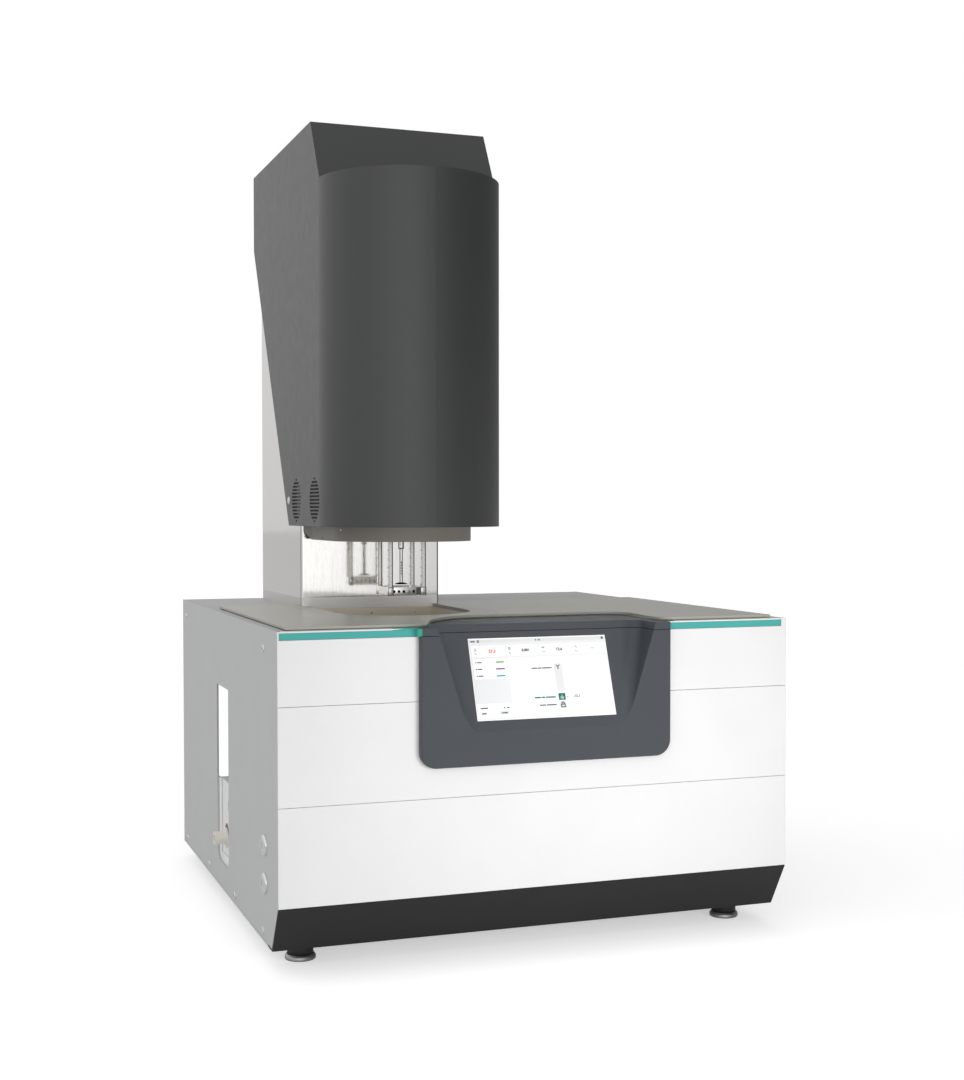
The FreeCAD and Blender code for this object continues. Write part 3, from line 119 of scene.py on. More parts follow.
class Nodes:
    """Short ways to make and join the nodes of a tree."""

    def __init__(self, tree):
        self.tree = tree

    def node(self, kind, **settings):
        made = self.tree.nodes.new(kind)
        for key, value in settings.items():
            setattr(made, key, value)
        return made

    def feed(self, socket, value):
        """Links an input to another node's output, or gives it a plain value."""
        if isinstance(value, bpy.types.NodeSocket):
            self.tree.links.new(value, socket)
        else:
            socket.default_value = value

    def maths(self, operation, *values):
        made = self.node("ShaderNodeMath", operation=operation)
        for socket, value in zip(made.inputs, values):
            self.feed(socket, value)
        return made.outputs["Value"]

    def vectors(self, operation, *values, output="Vector"):
        made = self.node("ShaderNodeVectorMath", operation=operation)
        for socket, value in zip(made.inputs, values):
            self.feed(socket, value)
        return made.outputs[output]

    def parts(self, vector):
        """X, Y and Z of a vector."""
        made = self.node("ShaderNodeSeparateXYZ")
        self.feed(made.inputs["Vector"], vector)
        return made.outputs


class Material(Nodes):
    """A node material with one Principled shader and helpers for its textures."""

    def __init__(self, name, rough, metallic=0.0):
        self.data = bpy.data.materials.new(name)
        self.data.use_nodes = True
        super().__init__(self.data.node_tree)
        self.shader = self.tree.nodes["Principled BSDF"]
        self.set("Roughness", rough)
        self.set("Metallic", metallic)
        self.place = self.node("ShaderNodeTexCoord").outputs["Object"]

    def set(self, name, value):
        self.feed(self.shader.inputs[name], value)

    def noise(self, scale, detail=2.0, stretch=(1, 1, 1)):
        mapping = self.node("ShaderNodeMapping")
        self.feed(mapping.inputs["Vector"], self.place)
        self.feed(mapping.inputs["Scale"], stretch)
        made = self.node("ShaderNodeTexNoise")
        self.feed(made.inputs["Scale"], scale)
        self.feed(made.inputs["Detail"], detail)
        self.feed(made.inputs["Vector"], mapping.outputs["Vector"])
        return made.outputs["Fac"]

    def span(self, value, low, high, out_low, out_high):
        made = self.node("ShaderNodeMapRange")
        self.feed(made.inputs["Value"], value)
        limits = {"From Min": low, "From Max": high, "To Min": out_low, "To Max": out_high}
        for name, limit in limits.items():
            self.feed(made.inputs[name], limit)
        return made.outputs["Result"]

    def spread(self, noise, out_low=0.0, out_high=1.0):
        """Widens a noise, whose values lie mostly between 0.3 and 0.7, to a range."""
        return self.span(noise, 0.3, 0.7, out_low, out_high)

    def mix(self, share, a, b):
        made = self.node("ShaderNodeMix", data_type="RGBA")
        self.feed(made.inputs["Factor"], share)
        colours = [socket for socket in made.inputs if socket.type == "RGBA"]
        self.feed(colours[0], a)
        self.feed(colours[1], b)
        return [socket for socket in made.outputs if socket.type == "RGBA"][0]

    def relief(self, layers, edge=0.0, normal=None):
        """Bump layers (height, strength, distance) over an optional softened edge, in metres."""
        if edge:
            bevel = self.node("ShaderNodeBevel", samples=6)
            self.feed(bevel.inputs["Radius"], edge)
            normal = bevel.outputs["Normal"]
        for height, strength, distance in layers:
            bump = self.node("ShaderNodeBump")
            self.feed(bump.inputs["Strength"], strength)
            self.feed(bump.inputs["Distance"], distance)
            self.feed(bump.inputs["Height"], height)
            if normal:
                self.feed(bump.inputs["Normal"], normal)
            normal = bump.outputs["Normal"]
        self.set("Normal", normal)


def paint(name, rgb, rough, grain, strength, specular=0.5):
    """Sprayed coat: fine orange peel, slight cloudiness, softened edges."""
    cloudiness = 0.012
    m = Material(name, rough)
    base = linear(*rgb)
    cloud = m.spread(m.noise(14.0))
    speck = m.span(m.noise(1500.0, 1.0), 0.35, 0.65, 0.0, 0.1)
    broad = m.mix(cloud, shade(base, 1 - cloudiness), shade(base, 1 + cloudiness))
    m.set("Base Color", m.mix(speck, broad, shade(base, 0.85)))
    m.set("Roughness", m.spread(m.noise(60.0), rough - 0.015, rough + 0.02))
    peel = (m.noise(grain), strength, 0.0004)
    fine_peel = (m.noise(grain * 3.1, 1.0), strength * 0.5, 0.0002)
    m.relief([peel, fine_peel], 0.0007)
    m.set("Specular IOR Level", specular)
    return m


def plastic(name, rgb, rough, grain=1300.0, strength=0.1, edge=0.0006, specular=0.5):
    """Moulded plastic with a fine spark texture."""
    m = Material(name, rough)
    base = linear(*rgb)
    m.set("Base Color", m.mix(m.spread(m.noise(9.0, 3.0)), shade(base, 0.97), shade(base, 1.03)))
    m.set("Roughness", m.spread(m.noise(60.0), rough - 0.05, rough + 0.05))
    m.relief([(m.noise(grain, 1.0), strength, 0.0002)], edge)
    m.set("Specular IOR Level", specular)
    return m


def metal(name, rgb, rough, stretch=(1, 1, 1), strength=0.1, vary=0.05, edge=0.0004):
    """Machined or brushed metal, with streaks along the axis whose stretch is small."""
    grain = 700.0
    m = Material(name, rough, 1.0)
    base = linear(*rgb)
    streak = m.noise(grain, 3.0, stretch)
    wide = m.span(m.noise(grain * 0.13, 2.0, stretch), 0.35, 0.7, 0, 0.5)
    tone = m.mix(m.spread(streak), shade(base, 1 - vary), shade(base, 1 + vary * 0.6))
    m.set("Base Color", m.mix(wide, tone, shade(base, 1 - 1.6 * vary)))
    m.set("Roughness", m.spread(streak, rough * 0.75, rough * 1.3))
    m.relief([(streak, strength, 0.0002)], edge)
    return m


def brushed_column():
    """Brushed stainless sheet that mirrors what stands before it; its front lies slightly turned, and painted
    shade darkens it towards the right.
    """
    foot_edge = (0.3576, 0.3586)    # below this height, in metres, the sheet is matt
    painted_shade_span = (-0.15, -0.02)       # X, in metres, over which painted shade darkens the front to the right
    foot_roughness = 0.34
    turn = 0.1
    m = Material("column_steel", 0.06, 1.0)
    base = linear(238, 236, 233)
    surface = m.node("ShaderNodeNewGeometry").outputs["Normal"]
    facing = m.parts(surface)
    spot = m.parts(m.place)
    fine = m.noise(1500.0, 3.0, (1, 1, 0.09))
    wide = m.span(m.noise(420.0, 3.0, (1, 1, 0.06)), 0.5, 0.72, 0, 0.5)

    tone = m.mix(m.spread(fine), shade(base, 0.9), shade(base, 1.05))
    front_tone = m.mix(wide, tone, shade(base, 0.84))
    # Painted shade: the front's tone darkens towards its right edge
    painted_shade_share = m.span(spot["X"], *painted_shade_span, 0.0, 0.6)
    foot = m.span(spot["Z"], *foot_edge, 1.0, 0.0)
    upright = m.mix(foot, m.mix(painted_shade_share, front_tone, shade(base, 0.62)), shade(base, 1.0))
    side_share = m.maths("ABSOLUTE", facing["X"])
    m.set("Base Color", m.mix(side_share, upright, shade(base, 0.8)))
    m.set("Roughness", m.maths("MULTIPLY_ADD", foot, foot_roughness, m.spread(fine, 0.04, 0.1)))

    lean = m.maths("MINIMUM", m.maths("MULTIPLY", facing["Y"], turn), 0.0)
    offset = m.node("ShaderNodeCombineXYZ")
    m.feed(offset.inputs["X"], lean)
    turned = m.vectors("NORMALIZE", m.vectors("ADD", surface, offset.outputs["Vector"]))
    m.relief([(fine, 0.006, 0.0002)], 0.0, turned)
    return m


def board_material():
    """Green circuit board with a faint grid of tracks."""
    m = Material("board", 0.42)
    base = linear(24, 84, 52)
    tracks = m.node("ShaderNodeTexBrick")
    settings = {"Scale": 160.0, "Color1": base, "Color2": shade(base, 1.15), "Mortar": linear(70, 120, 70),
                "Mortar Size": 0.03, "Vector": m.place}
    for name, value in settings.items():
        m.feed(tracks.inputs[name], value)
    m.set("Base Color", m.mix(m.spread(m.noise(300.0), 0.0, 0.5), tracks.outputs["Color"], shade(base, 0.7)))
    m.relief([(m.noise(600.0), 0.1, 0.0002)], 0.0003)
    return m


def fibre_material():
    """Pale felted insulation."""
    m = Material("insulation", 0.95)
    base = linear(214, 206, 190)
    strands = m.noise(240.0, 6.0, (1, 1, 3))
    m.set("Base Color", m.mix(m.spread(strands), shade(base, 0.86), shade(base, 1.04)))
    m.relief([(strands, 0.5, 0.0008)])
    return m


def glass_material():
    """Backlit white page under clear glass."""
    m = Material("screen", 0.16)
    base = linear(250, 251, 251)
    m.set("Base Color", m.mix(m.spread(m.noise(4.0)), base, shade(base, 0.985)))
    m.set("Emission Color", (1, 1, 1, 1))
    m.set("Emission Strength", 0.05)
    m.relief([(m.noise(2600.0, 1.0), 0.01, 0.0001)])
    return m


def ink(name, rgb, glow):
    """A printed or lit mark on the screen."""
    m = Material(name, 0.3)
    base = linear(*rgb)
    m.set("Base Color", m.mix(m.spread(m.noise(40.0)), base, shade(base, 0.97)))
    m.set("Emission Color", base)
    m.set("Emission Strength", glow)
    return m


# One finish for each slot of the record
finishes = {
    "white_paint": paint("white_paint", (232, 232, 232), 0.42, 330.0, 0.2),
    "grey_paint": paint("grey_paint", (192, 193, 193), 0.5, 520.0, 0.1),
    "teal_paint": paint("teal_paint", (72, 168, 162), 0.45, 500.0, 0.08),
    "black_paint": paint("black_paint", (44, 44, 44), 0.5, 600.0, 0.08, specular=0.25),
    "head_paint": paint("head_paint", (52, 53, 53), 0.4, 700.0, 0.05, specular=0.7),
    "bezel_plastic": plastic("bezel_plastic", (72, 76, 81), 0.46, specular=0.35),
    "olive_paint": paint("olive_paint", (168, 166, 155), 0.3, 700.0, 0.03, specular=0.8),
    "deck_paint": paint("deck_paint", (178, 179, 178), 0.42, 520.0, 0.04),
    "beige_sheet": paint("beige_sheet", (243, 231, 210), 0.4, 500.0, 0.05),
    "ring_paint": paint("ring_paint", (126, 122, 116), 0.45, 620.0, 0.05, specular=0.35),
    "column_steel": brushed_column(),
    "steel": metal("steel", (176, 177, 178), 0.34),
    "bright_steel": metal("bright_steel", (224, 224, 222), 0.16, strength=0.05),
    "aluminium": metal("aluminium", (196, 198, 200), 0.36, (1, 1, 0.2)),
    "magnet_iron": metal("magnet_iron", (92, 92, 96), 0.45),
    "copper": metal("copper", (190, 118, 84), 0.35, (0.2, 0.2, 1)),
    "bronze": metal("bronze", (176, 136, 84), 0.35),
    "black_plastic": plastic("black_plastic", (32, 32, 34), 0.48),
    "board": board_material(),
    "insulation": fibre_material(),
    "seal": plastic("seal", (44, 44, 46), 0.7, 900.0, 0.2),
    "screen": glass_material(),
    "nozzle_plastic": plastic("nozzle_plastic", (228, 223, 214), 0.45),
}

# Variants of these finishes on single pieces
box_paint = paint("box_paint", (236, 236, 235), 0.4, 500.0, 0.05)
frame_steel = metal("frame_steel", (246, 245, 242), 0.24, strength=0.01, vary=0.02, edge=0.0005)
# Near-black for painted shade inside holes, bores and vents and under the push plate; also the ring's dark
# set screw
dark_hole = plastic("dark_hole", (12, 12, 13), 0.6, specular=0.1)
plain_steel = metal("plain_steel", (240, 239, 236), 0.16, strength=0.02, vary=0.02, edge=0.0)
# Grey for painted shade and painted reflection: dark strips along edges and folds, and round the coolant cup
painted_shade_grey = plastic("painted_shade_grey", (84, 83, 81), 0.4, specular=0.3, edge=0.0)
# Greener teal of the coloured strip's end: painted reflection
cap_reflection_teal = plastic("cap_reflection_teal", (46, 158, 132), 0.4)
seam_grey = plastic("seam_grey", (128, 126, 118), 0.5)

for obj in nodes.values():
    slot_name = obj.data.materials[0].name.split(".")[0]
    obj.data.materials[0] = finishes[slot_name].data
nodes["coolant_box"].data.materials[0] = box_paint.data
for name in ("sample_frame", "push_rod", "push_plate"):
    nodes[name].data.materials[0] = frame_steel.data


def finish_mesh(name, bm, slot_name, body="root", smooth=40.0, material=None):
    """Turns a bmesh in millimetres into a piece in metres that rides on a body."""
    bmesh.ops.scale(bm, vec=(MM, MM, MM), verts=bm.verts)
    bmesh.ops.recalc_face_normals(bm, faces=bm.faces)
    data = bpy.data.meshes.new(name)
    bm.to_mesh(data)
    bm.free()
    obj = bpy.data.objects.new(name, data)
    bpy.context.scene.collection.objects.link(obj)
    data.materials.append((material or finishes[slot_name]).data)
    for poly in data.polygons:
        poly.use_smooth = True
    data.set_sharp_from_angle(angle=math.radians(smooth))
    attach(obj, body)
    return obj


def directions(axis):
    """A unit axis and two directions square to it."""
    axis = Vector(axis).normalized()
    u = axis.orthogonal().normalized()
    return axis, u, axis.cross(u)


def skin(bm, rings):
    """Joins rings that have the same number of points, or a single point at a tip."""
    for low, high in zip(rings, rings[1:]):
        count = max(len(low), len(high))
        for k in range(count if count > 1 else 0):
            n = (k + 1) % count
            if len(low) == 1:
                bm.faces.new([low[0], high[n], high[k]])
            elif len(high) == 1:
                bm.faces.new([low[k], low[n], high[0]])
            else:
                bm.faces.new([low[k], low[n], high[n], high[k]])


def revolve(bm, profile, origin, axis, segments=48):
    """Adds a turned shape: (radius, height) points around an axis through origin."""
    axis, u, w = directions(axis)
    turns = [2 * math.pi * k / segments for k in range(segments)]
    rings = []
    for radius, height in profile:
        centre = Vector(origin) + axis * height
        rings.append([bm.verts.new(centre + u * (radius * math.cos(a)) + w * (radius * math.sin(a)))
                      for a in (turns if radius else [0.0])])
    skin(bm, rings)


def pin(radius, low, high):
    """Profile of a plain round pin."""
    return [(0, low), (radius, low), (radius, high), (0, high)]


def button_head(bm, origin, axis, radius, height, socket):
    """Domed screw head with a hexagonal socket."""
    segments = 36
    sixth = math.pi / 3
    socket_floor = 0.15
    dome = ((1.0, 0.0), (1.0, 0.3), (0.94, 0.58), (0.8, 0.82), (0.62, 1.0))
    axis, u, w = directions(axis)
    turns = [2 * math.pi * k / segments for k in range(segments)]

    def ring(level, radii):
        centre = Vector(origin) + axis * (height * level)
        return [bm.verts.new(centre + (u * math.cos(a) + w * math.sin(a)) * r) for a, r in zip(turns, radii)]

    hexagon = [socket / math.cos((a + sixth / 2) % sixth - sixth / 2) for a in turns]
    rings = [ring(level, [radius * share] * segments) for share, level in dome]
    rings += [ring(level, hexagon) for level in (1.0, socket_floor)]
    skin(bm, rings)
    bm.faces.new(rings[-1])
    bm.faces.new(rings[0][::-1])


def block(bm, x0, x1, y0, y1, z0, z1, bevel=0.0):
    """Adds a box, with rounded edges where bevel is given."""
    verts = bmesh.ops.create_cube(bm, size=1.0)["verts"]
    bmesh.ops.scale(bm, vec=(x1 - x0, y1 - y0, z1 - z0), verts=verts)
    bmesh.ops.translate(bm, vec=((x0 + x1) / 2, (y0 + y1) / 2, (z0 + z1) / 2), verts=verts)
    if bevel:
        edges = list({e for v in verts for e in v.link_edges})
        bmesh.ops.bevel(bm, geom=edges, offset=bevel, segments=2, affect="EDGES", profile=0.5)


def upright_shell(bm, centre, radius, z0, z1, from_angle, to_angle, steps=6):
    """A thin upright shell between two angles, where 0 looks along +X and -90 to the front."""
    ring = []
    for k in range(steps + 1):
        a = math.radians(from_angle + (to_angle - from_angle) * k / steps)
        ring.append((centre[0] + radius * math.cos(a), centre[1] + radius * math.sin(a)))
    low = [bm.verts.new((x, y, z0)) for x, y in ring]
    high = [bm.verts.new((x, y, z1)) for x, y in ring]
    for k in range(steps):
        bm.faces.new([low[k], low[k + 1], high[k + 1], high[k]])


def plate(bm, top, low):
    """Closes a thin plate between two outlines that have the same number of points."""
    bm.faces.new(top)
    bm.faces.new(low[::-1])
    for k in range(len(top)):
        n = (k + 1) % len(top)
        bm.faces.new([low[k], low[n], top[n], top[k]])


# Screen page: x runs across, s runs up the glass, and lift is the height above it
slope = math.atan2(pocket_depth, body_top - pocket_bottom)
up = Vector((0, math.sin(slope), math.cos(slope)))
away = Vector((0, math.cos(slope), -math.sin(slope)))
page = Vector((0, bezel_front, pocket_bottom)) + away * glass_depth
mark_thickness = 0.04
ground_lift = 0.05
card_lift = 0.10
inset_lift = 0.15
text_lift = 0.20
button_lift = 0.22
tool_lift = 0.25
top_lift = 0.30


def on_glass(x, s, lift):
    return page + Vector((x, 0, 0)) + up * s - away * lift


def flat_mark(bm, points, lift):
    """A thin plate on the glass with the given outline."""
    top = [bm.verts.new(on_glass(x, s, lift)) for x, s in points]
    low = [bm.verts.new(on_glass(x, s, lift - mark_thickness)) for x, s in points]
    plate(bm, top, low)


def card_outline(x0, x1, s0, s1, corner):
    """A rectangle with rounded corners."""
    corner = min(corner, (x1 - x0) / 2 - 0.01, (s1 - s0) / 2 - 0.01)
    centres = ((x1 - corner, s1 - corner), (x0 + corner, s1 - corner),
               (x0 + corner, s0 + corner), (x1 - corner, s0 + corner))
    points = []
    for quarter, (cx, cs) in enumerate(centres):
        for k in range(5):
            a = math.radians(90 * quarter + 22.5 * k)
            points.append((cx + corner * math.cos(a), cs + corner * math.sin(a)))
    return points


def marks(name, rgb, shapes, lift, glow=0.06):
    """One piece of the page: a list of (x0, x1, s0, s1, corner) rectangles in one colour."""
    bm = bmesh.new()
    for shape in shapes:
        flat_mark(bm, card_outline(*shape), lift)
    finish_mesh(name, bm, "screen", "root", 30.0, ink(name + "_ink", rgb, glow))


def words(x0, x1, s, lengths, height):
    """A row of short bars between two ends, with the given relative lengths."""
    space = 0.45
    scale = (x1 - x0) / (sum(lengths) + space * (len(lengths) - 1))
    out = []
    x = x0
    for length in lengths:
        out.append((x, x + length * scale, s - height / 2, s + height / 2, height * 0.3))
        x += (length + space) * scale
    return out


def number(name, text, x, s, size, rgb):
    """A plain number on the page, as thin raised text."""
    boldness = 0.045
    curve = bpy.data.curves.new(name, "FONT")
    curve.body = text
    curve.size = size * MM
    curve.align_x = "CENTER"
    curve.align_y = "CENTER"
    curve.extrude = mark_thickness / 2 * MM
    curve.offset = size * MM * boldness
    curve.resolution_u = 3
    obj = bpy.data.objects.new(name, curve)
    bpy.context.scene.collection.objects.link(obj)
    leaning = Matrix.Rotation(math.pi / 2 - slope, 4, "X")
    obj.matrix_world = Matrix.Translation(on_glass(x, s, text_lift) * MM) @ leaning
    curve.materials.append(ink(name + "_ink", rgb, 0.05).data)
    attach(obj, "root")


def glyph(name, rgb, strokes, lift, width):
    """Thin strokes on the page as flat ribbons; each stroke is a list of (x, s) points."""
    bm = bmesh.new()
    for stroke in strokes:
        for (xa, sa), (xb, sb) in zip(stroke, stroke[1:]):
            d = Vector((xb - xa, sb - sa)).normalized() * (width / 2)
            n = Vector((-d.y, d.x))
            flat_mark(bm, [(xa - d.x + n.x, sa - d.y + n.y), (xa - d.x - n.x, sa - d.y - n.y),
                           (xb + d.x - n.x, sb + d.y - n.y), (xb + d.x + n.x, sb + d.y + n.y)], lift)
    finish_mesh(name, bm, "screen", "root", 30.0, ink(name + "_ink", rgb, 0.05))


# Four value cards in a row, then the card and the block at the left and the large card
text_grey = (96, 98, 100)
text_dark = (44, 46, 48)
text_teal = (0, 122, 108)
ground_grey = (229, 230, 231)
value_cards = [(-75.3, -38.2), (-36.7, -0.6), (1.1, 37.9), (39.4, 75.9)]
cards = [(a, b, 79.9, 91.7, 0.4) for a, b in value_cards]
cards += [(-75.2, -38.4, 56.0, 77.5, 0.4), (-76.0, -38.5, 14.5, 29.6, 0.4), (-37.3, 76.3, 14.5, 78.0, 0.4)]
divides = [(a + 8.0, a + 8.3, 80.6, 91.0, 0) for a, b in value_cards]
divides += [(-74.5, -39.2, s, s + 0.25, 0) for s in (70.0, 62.7)]
sliders = [(14.1, 23.4, 39.7, 70.0, 0.4), (14.9, 23.0, 21.1, 29.1, 0.4), (-52.7, -41.9, 17.4, 21.6, 0.4)]
green_dots = [(-3.3, -1.5, 95.7, 97.5, 0.5), (-47.8, -45.9, 23.9, 25.7, 0.5)]
marks("page_ground", ground_grey, [(-77.3, 77.3, 12.6, 98.6, 0)], ground_lift)
marks("page_bar", (220, 221, 222), [(-77.6, 77.6, 94.8, 98.6, 0)], card_lift)
marks("page_cards", (254, 254, 254), cards, card_lift)
marks("page_divides", (190, 191, 192), divides, inset_lift)
marks("page_block", ground_grey, [(-75.2, -38.6, 30.2, 54.3, 0.3)], inset_lift)
marks("page_slider", (222, 223, 224), sliders, inset_lift)
marks("page_teal_square", (0, 106, 94), [(15.0, 22.8, 30.2, 37.6, 0.2)], button_lift, 0.2)
marks("page_teal_dot", (10, 122, 110), [(72.8, 75.6, 95.2, 98.0, 1.4)], text_lift)
marks("page_green_dots", (80, 176, 30), green_dots, text_lift)

# Rows of short bars: x from and to, s, relative lengths of the bars, height
grey_text = [
    (-75.5, -70.6, 96.5, [5], 1.4), (0.0, 2.8, 96.4, [3], 1.2), (-73.0, -65.9, 73.7, [1, 3], 1.3),
    (-73.1, -65.9, 66.5, [1, 3], 1.3), (-73.0, -65.5, 59.2, [1, 4], 1.3), (-11.4, 11.6, 65.5, [5, 3, 8], 1.4),
    (-7.6, 11.5, 25.5, [5, 8], 1.4), (-73.1, -65.0, 24.9, [8], 1.5), (-72.6, -67.2, 19.3, [6], 1.5),
    (-44.4, -41.3, 24.7, [3], 1.4), (-50.5, -44.0, 19.4, [2, 4], 1.4),
]
marks("page_text_lines", text_grey, [bar for line in grey_text for bar in words(*line)], text_lift)
marks("page_line_green", (110, 176, 60), words(-49.9, -41.2, 73.7, [7], 1.6), text_lift)
marks("page_line_purple", (160, 60, 160), words(-50.8, -41.1, 66.4, [8], 1.6), text_lift)
marks("page_line_blue", (60, 160, 186), words(-51.0, -41.3, 58.9, [8], 1.6), text_lift)
marks("page_line_teal", text_teal, words(-12.0, 11.7, 33.8, [5, 3, 8], 1.6), text_lift)
number("page_value_1", "27.3", -52.8, 85.4, 4.6, (226, 92, 52))
number("page_value_2", "0.001", -15.1, 85.6, 4.2, text_dark)
number("page_value_3", "12.6", 22.9, 85.5, 4.2, text_dark)
number("page_value_4", "-12.1", 35.6, 33.9, 4.0, text_teal)

# Plain signs on the page
signs = [
    [(-71.3, 89.2), (-71.3, 86.4)], [(-72.2, 86.4), (-70.4, 86.4)], [(-72.2, 84.2), (-70.6, 82.6)],
    [(-33.9, 88.9), (-32.3, 88.9), (-32.3, 87.0), (-33.9, 87.0), (-33.9, 88.9)],
    [(-34.0, 83.8), (-32.6, 82.4)], [(3.0, 88.4), (6.4, 88.4)], [(3.6, 87.4), (5.8, 87.4)],
    [(2.8, 83.0), (6.8, 83.0)], [(41.4, 88.8), (43.6, 86.8)], [(41.4, 83.6), (43.8, 82.2)],
    [(59.6, 85.5), (62.6, 85.5)], [(-68.0, 95.6), (-68.0, 97.0), (-66.2, 97.0), (-66.2, 95.6), (-68.0, 95.6)],
    [(-67.6, 97.0), (-67.1, 98.0), (-66.6, 97.0)], [(24.4, 33.8), (25.8, 33.8)],
]
tool_marks = [
    [(17.0, 68.2), (18.7, 66.4), (20.4, 68.2)], [(18.7, 66.4), (18.7, 63.9)],
    [(16.9, 22.8), (16.9, 25.6), (21.1, 25.6), (21.1, 22.8), (16.9, 22.8)],
    [(17.6, 25.6), (17.8, 27.4), (19.0, 28.0), (20.2, 27.4), (20.4, 25.6)],
]
square_mark = [[(18.9, 35.6), (18.9, 33.6)], [(17.0, 33.2), (20.8, 33.2)], [(17.4, 32.0), (20.4, 32.0)]]
slider_dots = [[(18.7, s), (18.75, s)] for s in (42.0, 46.5, 51.0, 55.5, 60.0)]
glyph("page_symbols", text_grey, signs, text_lift, 0.65)
glyph("page_tool_marks", (58, 60, 62), tool_marks, tool_lift, 0.9)
glyph("page_square_mark", (236, 246, 244), square_mark, top_lift, 0.6)
glyph("page_slider_dots", (205, 207, 208), slider_dots, button_lift, 0.5)


def side_screws():
    """Domed screws of both side panels and the light cap on the head, in place of the plain solids."""
    places = [(269.0, 324.6), (-230.0, 323.5)] + [(y, 31.0) for y in (263.0, 100.0, -66.0, -222.0)]
    cap_profile = [(4.5, 0), (4.5, 0.7), (4.0, 1.3), (2.8, 1.7), (0, 1.8)]
    bm = bmesh.new()
    for hand in (-1, 1):
        for y, z in places:
            button_head(bm, (hand * side, y, z), (hand, 0, 0), 4.2, 1.4, 1.5)
    screws = finish_mesh("side_screw_heads", bm, "bright_steel")
    bm = bmesh.new()
    revolve(bm, cap_profile, (head_left, 36.5, vent_height), (-1, 0, 0))
    cap = finish_mesh("head_side_cap", bm, "nozzle_plastic")
    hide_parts("side_fasteners")
    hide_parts("side_fasteners")


def gas_ports():
    """Turned flanges and light collets, in place of the plain ports."""
    flange = [(7.6, -13.8), (7.6, 0.0), (11.0, 0.0), (11.0, 1.0), (10.7, 1.9), (10.0, 2.6), (8.8, 3.2),
              (7.2, 3.7), (5.4, 3.95), (3.4, 4.0), (3.0, 3.7), (3.0, -13.8), (7.6, -13.8)]
    collet = [(2.95, -6.0), (2.95, 2.6), (2.7, 3.0), (1.8, 3.0), (1.6, 2.7), (1.6, -6.0), (2.95, -6.0)]
    for name, slot_name, profile, segments in (("port_flanges", "bright_steel", flange, 72),
                                               ("port_collets", "nozzle_plastic", collet, 36)):
        bm = bmesh.new()
        for z in port_heights:
            revolve(bm, profile, (-side, port_y, z), (-1, 0, 0), segments)
        piece = finish_mesh(name, bm, slot_name)
        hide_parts("gas_ports")


def feet():
    """Levelling feet as disc, cap and threaded stem, in place of the plain ones."""
    thread_root = 4.4
    thread_crest = 5.0
    thread_step = 1.2
    disc = [(0, 0), (15.2, 0), (16.0, 0.8), (16.0, 3.6), (15.4, 4.6), (14.4, 6.0), (5.0, 6.0)]
    cap = [(5.0, 6.0), (13.0, 6.0), (13.5, 6.6), (13.5, 13.6), (12.9, 14.6), (11.6, 15.0), (5.0, 15.0)]
    stem = [(thread_root, 15.0)]
    for k in range(16):
        z = 15.2 + thread_step * k
        stem += [(thread_root, z), (thread_crest, z + thread_step / 2)]
    stem += [(thread_root, 34.6), (0, 34.8)]
    for name, slot_name, profile, segments in (("foot_discs", "steel", disc, 64),
                                               ("foot_caps", "black_plastic", cap, 64),
                                               ("foot_stems", "steel", stem, 24)):
        bm = bmesh.new()
        for x, y in foot_places:
            revolve(bm, profile, (x, y, 0), (0, 0, 1), segments)
        piece = finish_mesh(name, bm, slot_name)
        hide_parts("feet")


def frame_bores():
    """Near-black pins and tubes in the bores of the hanging frame's bars and beams, and of the push rod:
    painted shade of their insides.
    """
    ring_profile = [(1.5, -2.45), (1.5, 2.45), (1.05, 2.45), (1.05, -2.45), (1.5, -2.45)]
    bm = bmesh.new()
    for hx, hy in bar_signs:
        for k in range(5):
            place = (axis_x + bar_x * hx, axis_y + bar_y * hy, 379.5 + 10.0 * k)
            revolve(bm, pin(0.86, -2.42, 2.42), place, (1, 0, 0), 16)
    for hy in (-1, 1):
        for k in range(5):
            revolve(bm, ring_profile, (axis_x + 5.8 * (k - 2), axis_y + bar_y * hy, 372.5), (0, 1, 0), 24)
    finish_mesh("frame_bores", bm, "black_plastic", "root", 40.0, dark_hole)
    bm = bmesh.new()
    for k in range(5):
        revolve(bm, pin(0.7, -1.6, 1.6), (axis_x, axis_y, 391.5 + 3.2 * k), (0, 1, 0), 12)
    finish_mesh("rod_bores", bm, "black_plastic", "push_shaft", 40.0, dark_hole)


def bar_edges():
    """Dark strips along the bars' edges: painted reflection of dark surroundings in their rounded edges."""
    bm = bmesh.new()
    for hx, hy in bar_signs:
        x = axis_x + bar_x * hx
        for face in (-1, 1):
            y = axis_y + bar_y * hy + bar_half * face
            block(bm, x + 1.3, x + bar_half, y - 0.03, y + 0.03, *bar_span)
            block(bm, x - bar_half - 0.03, x - 2.0, y - 0.04, y + 0.04, *bar_span)
    finish_mesh("bar_edges", bm, "black_plastic", "root", 30.0, painted_shade_grey)


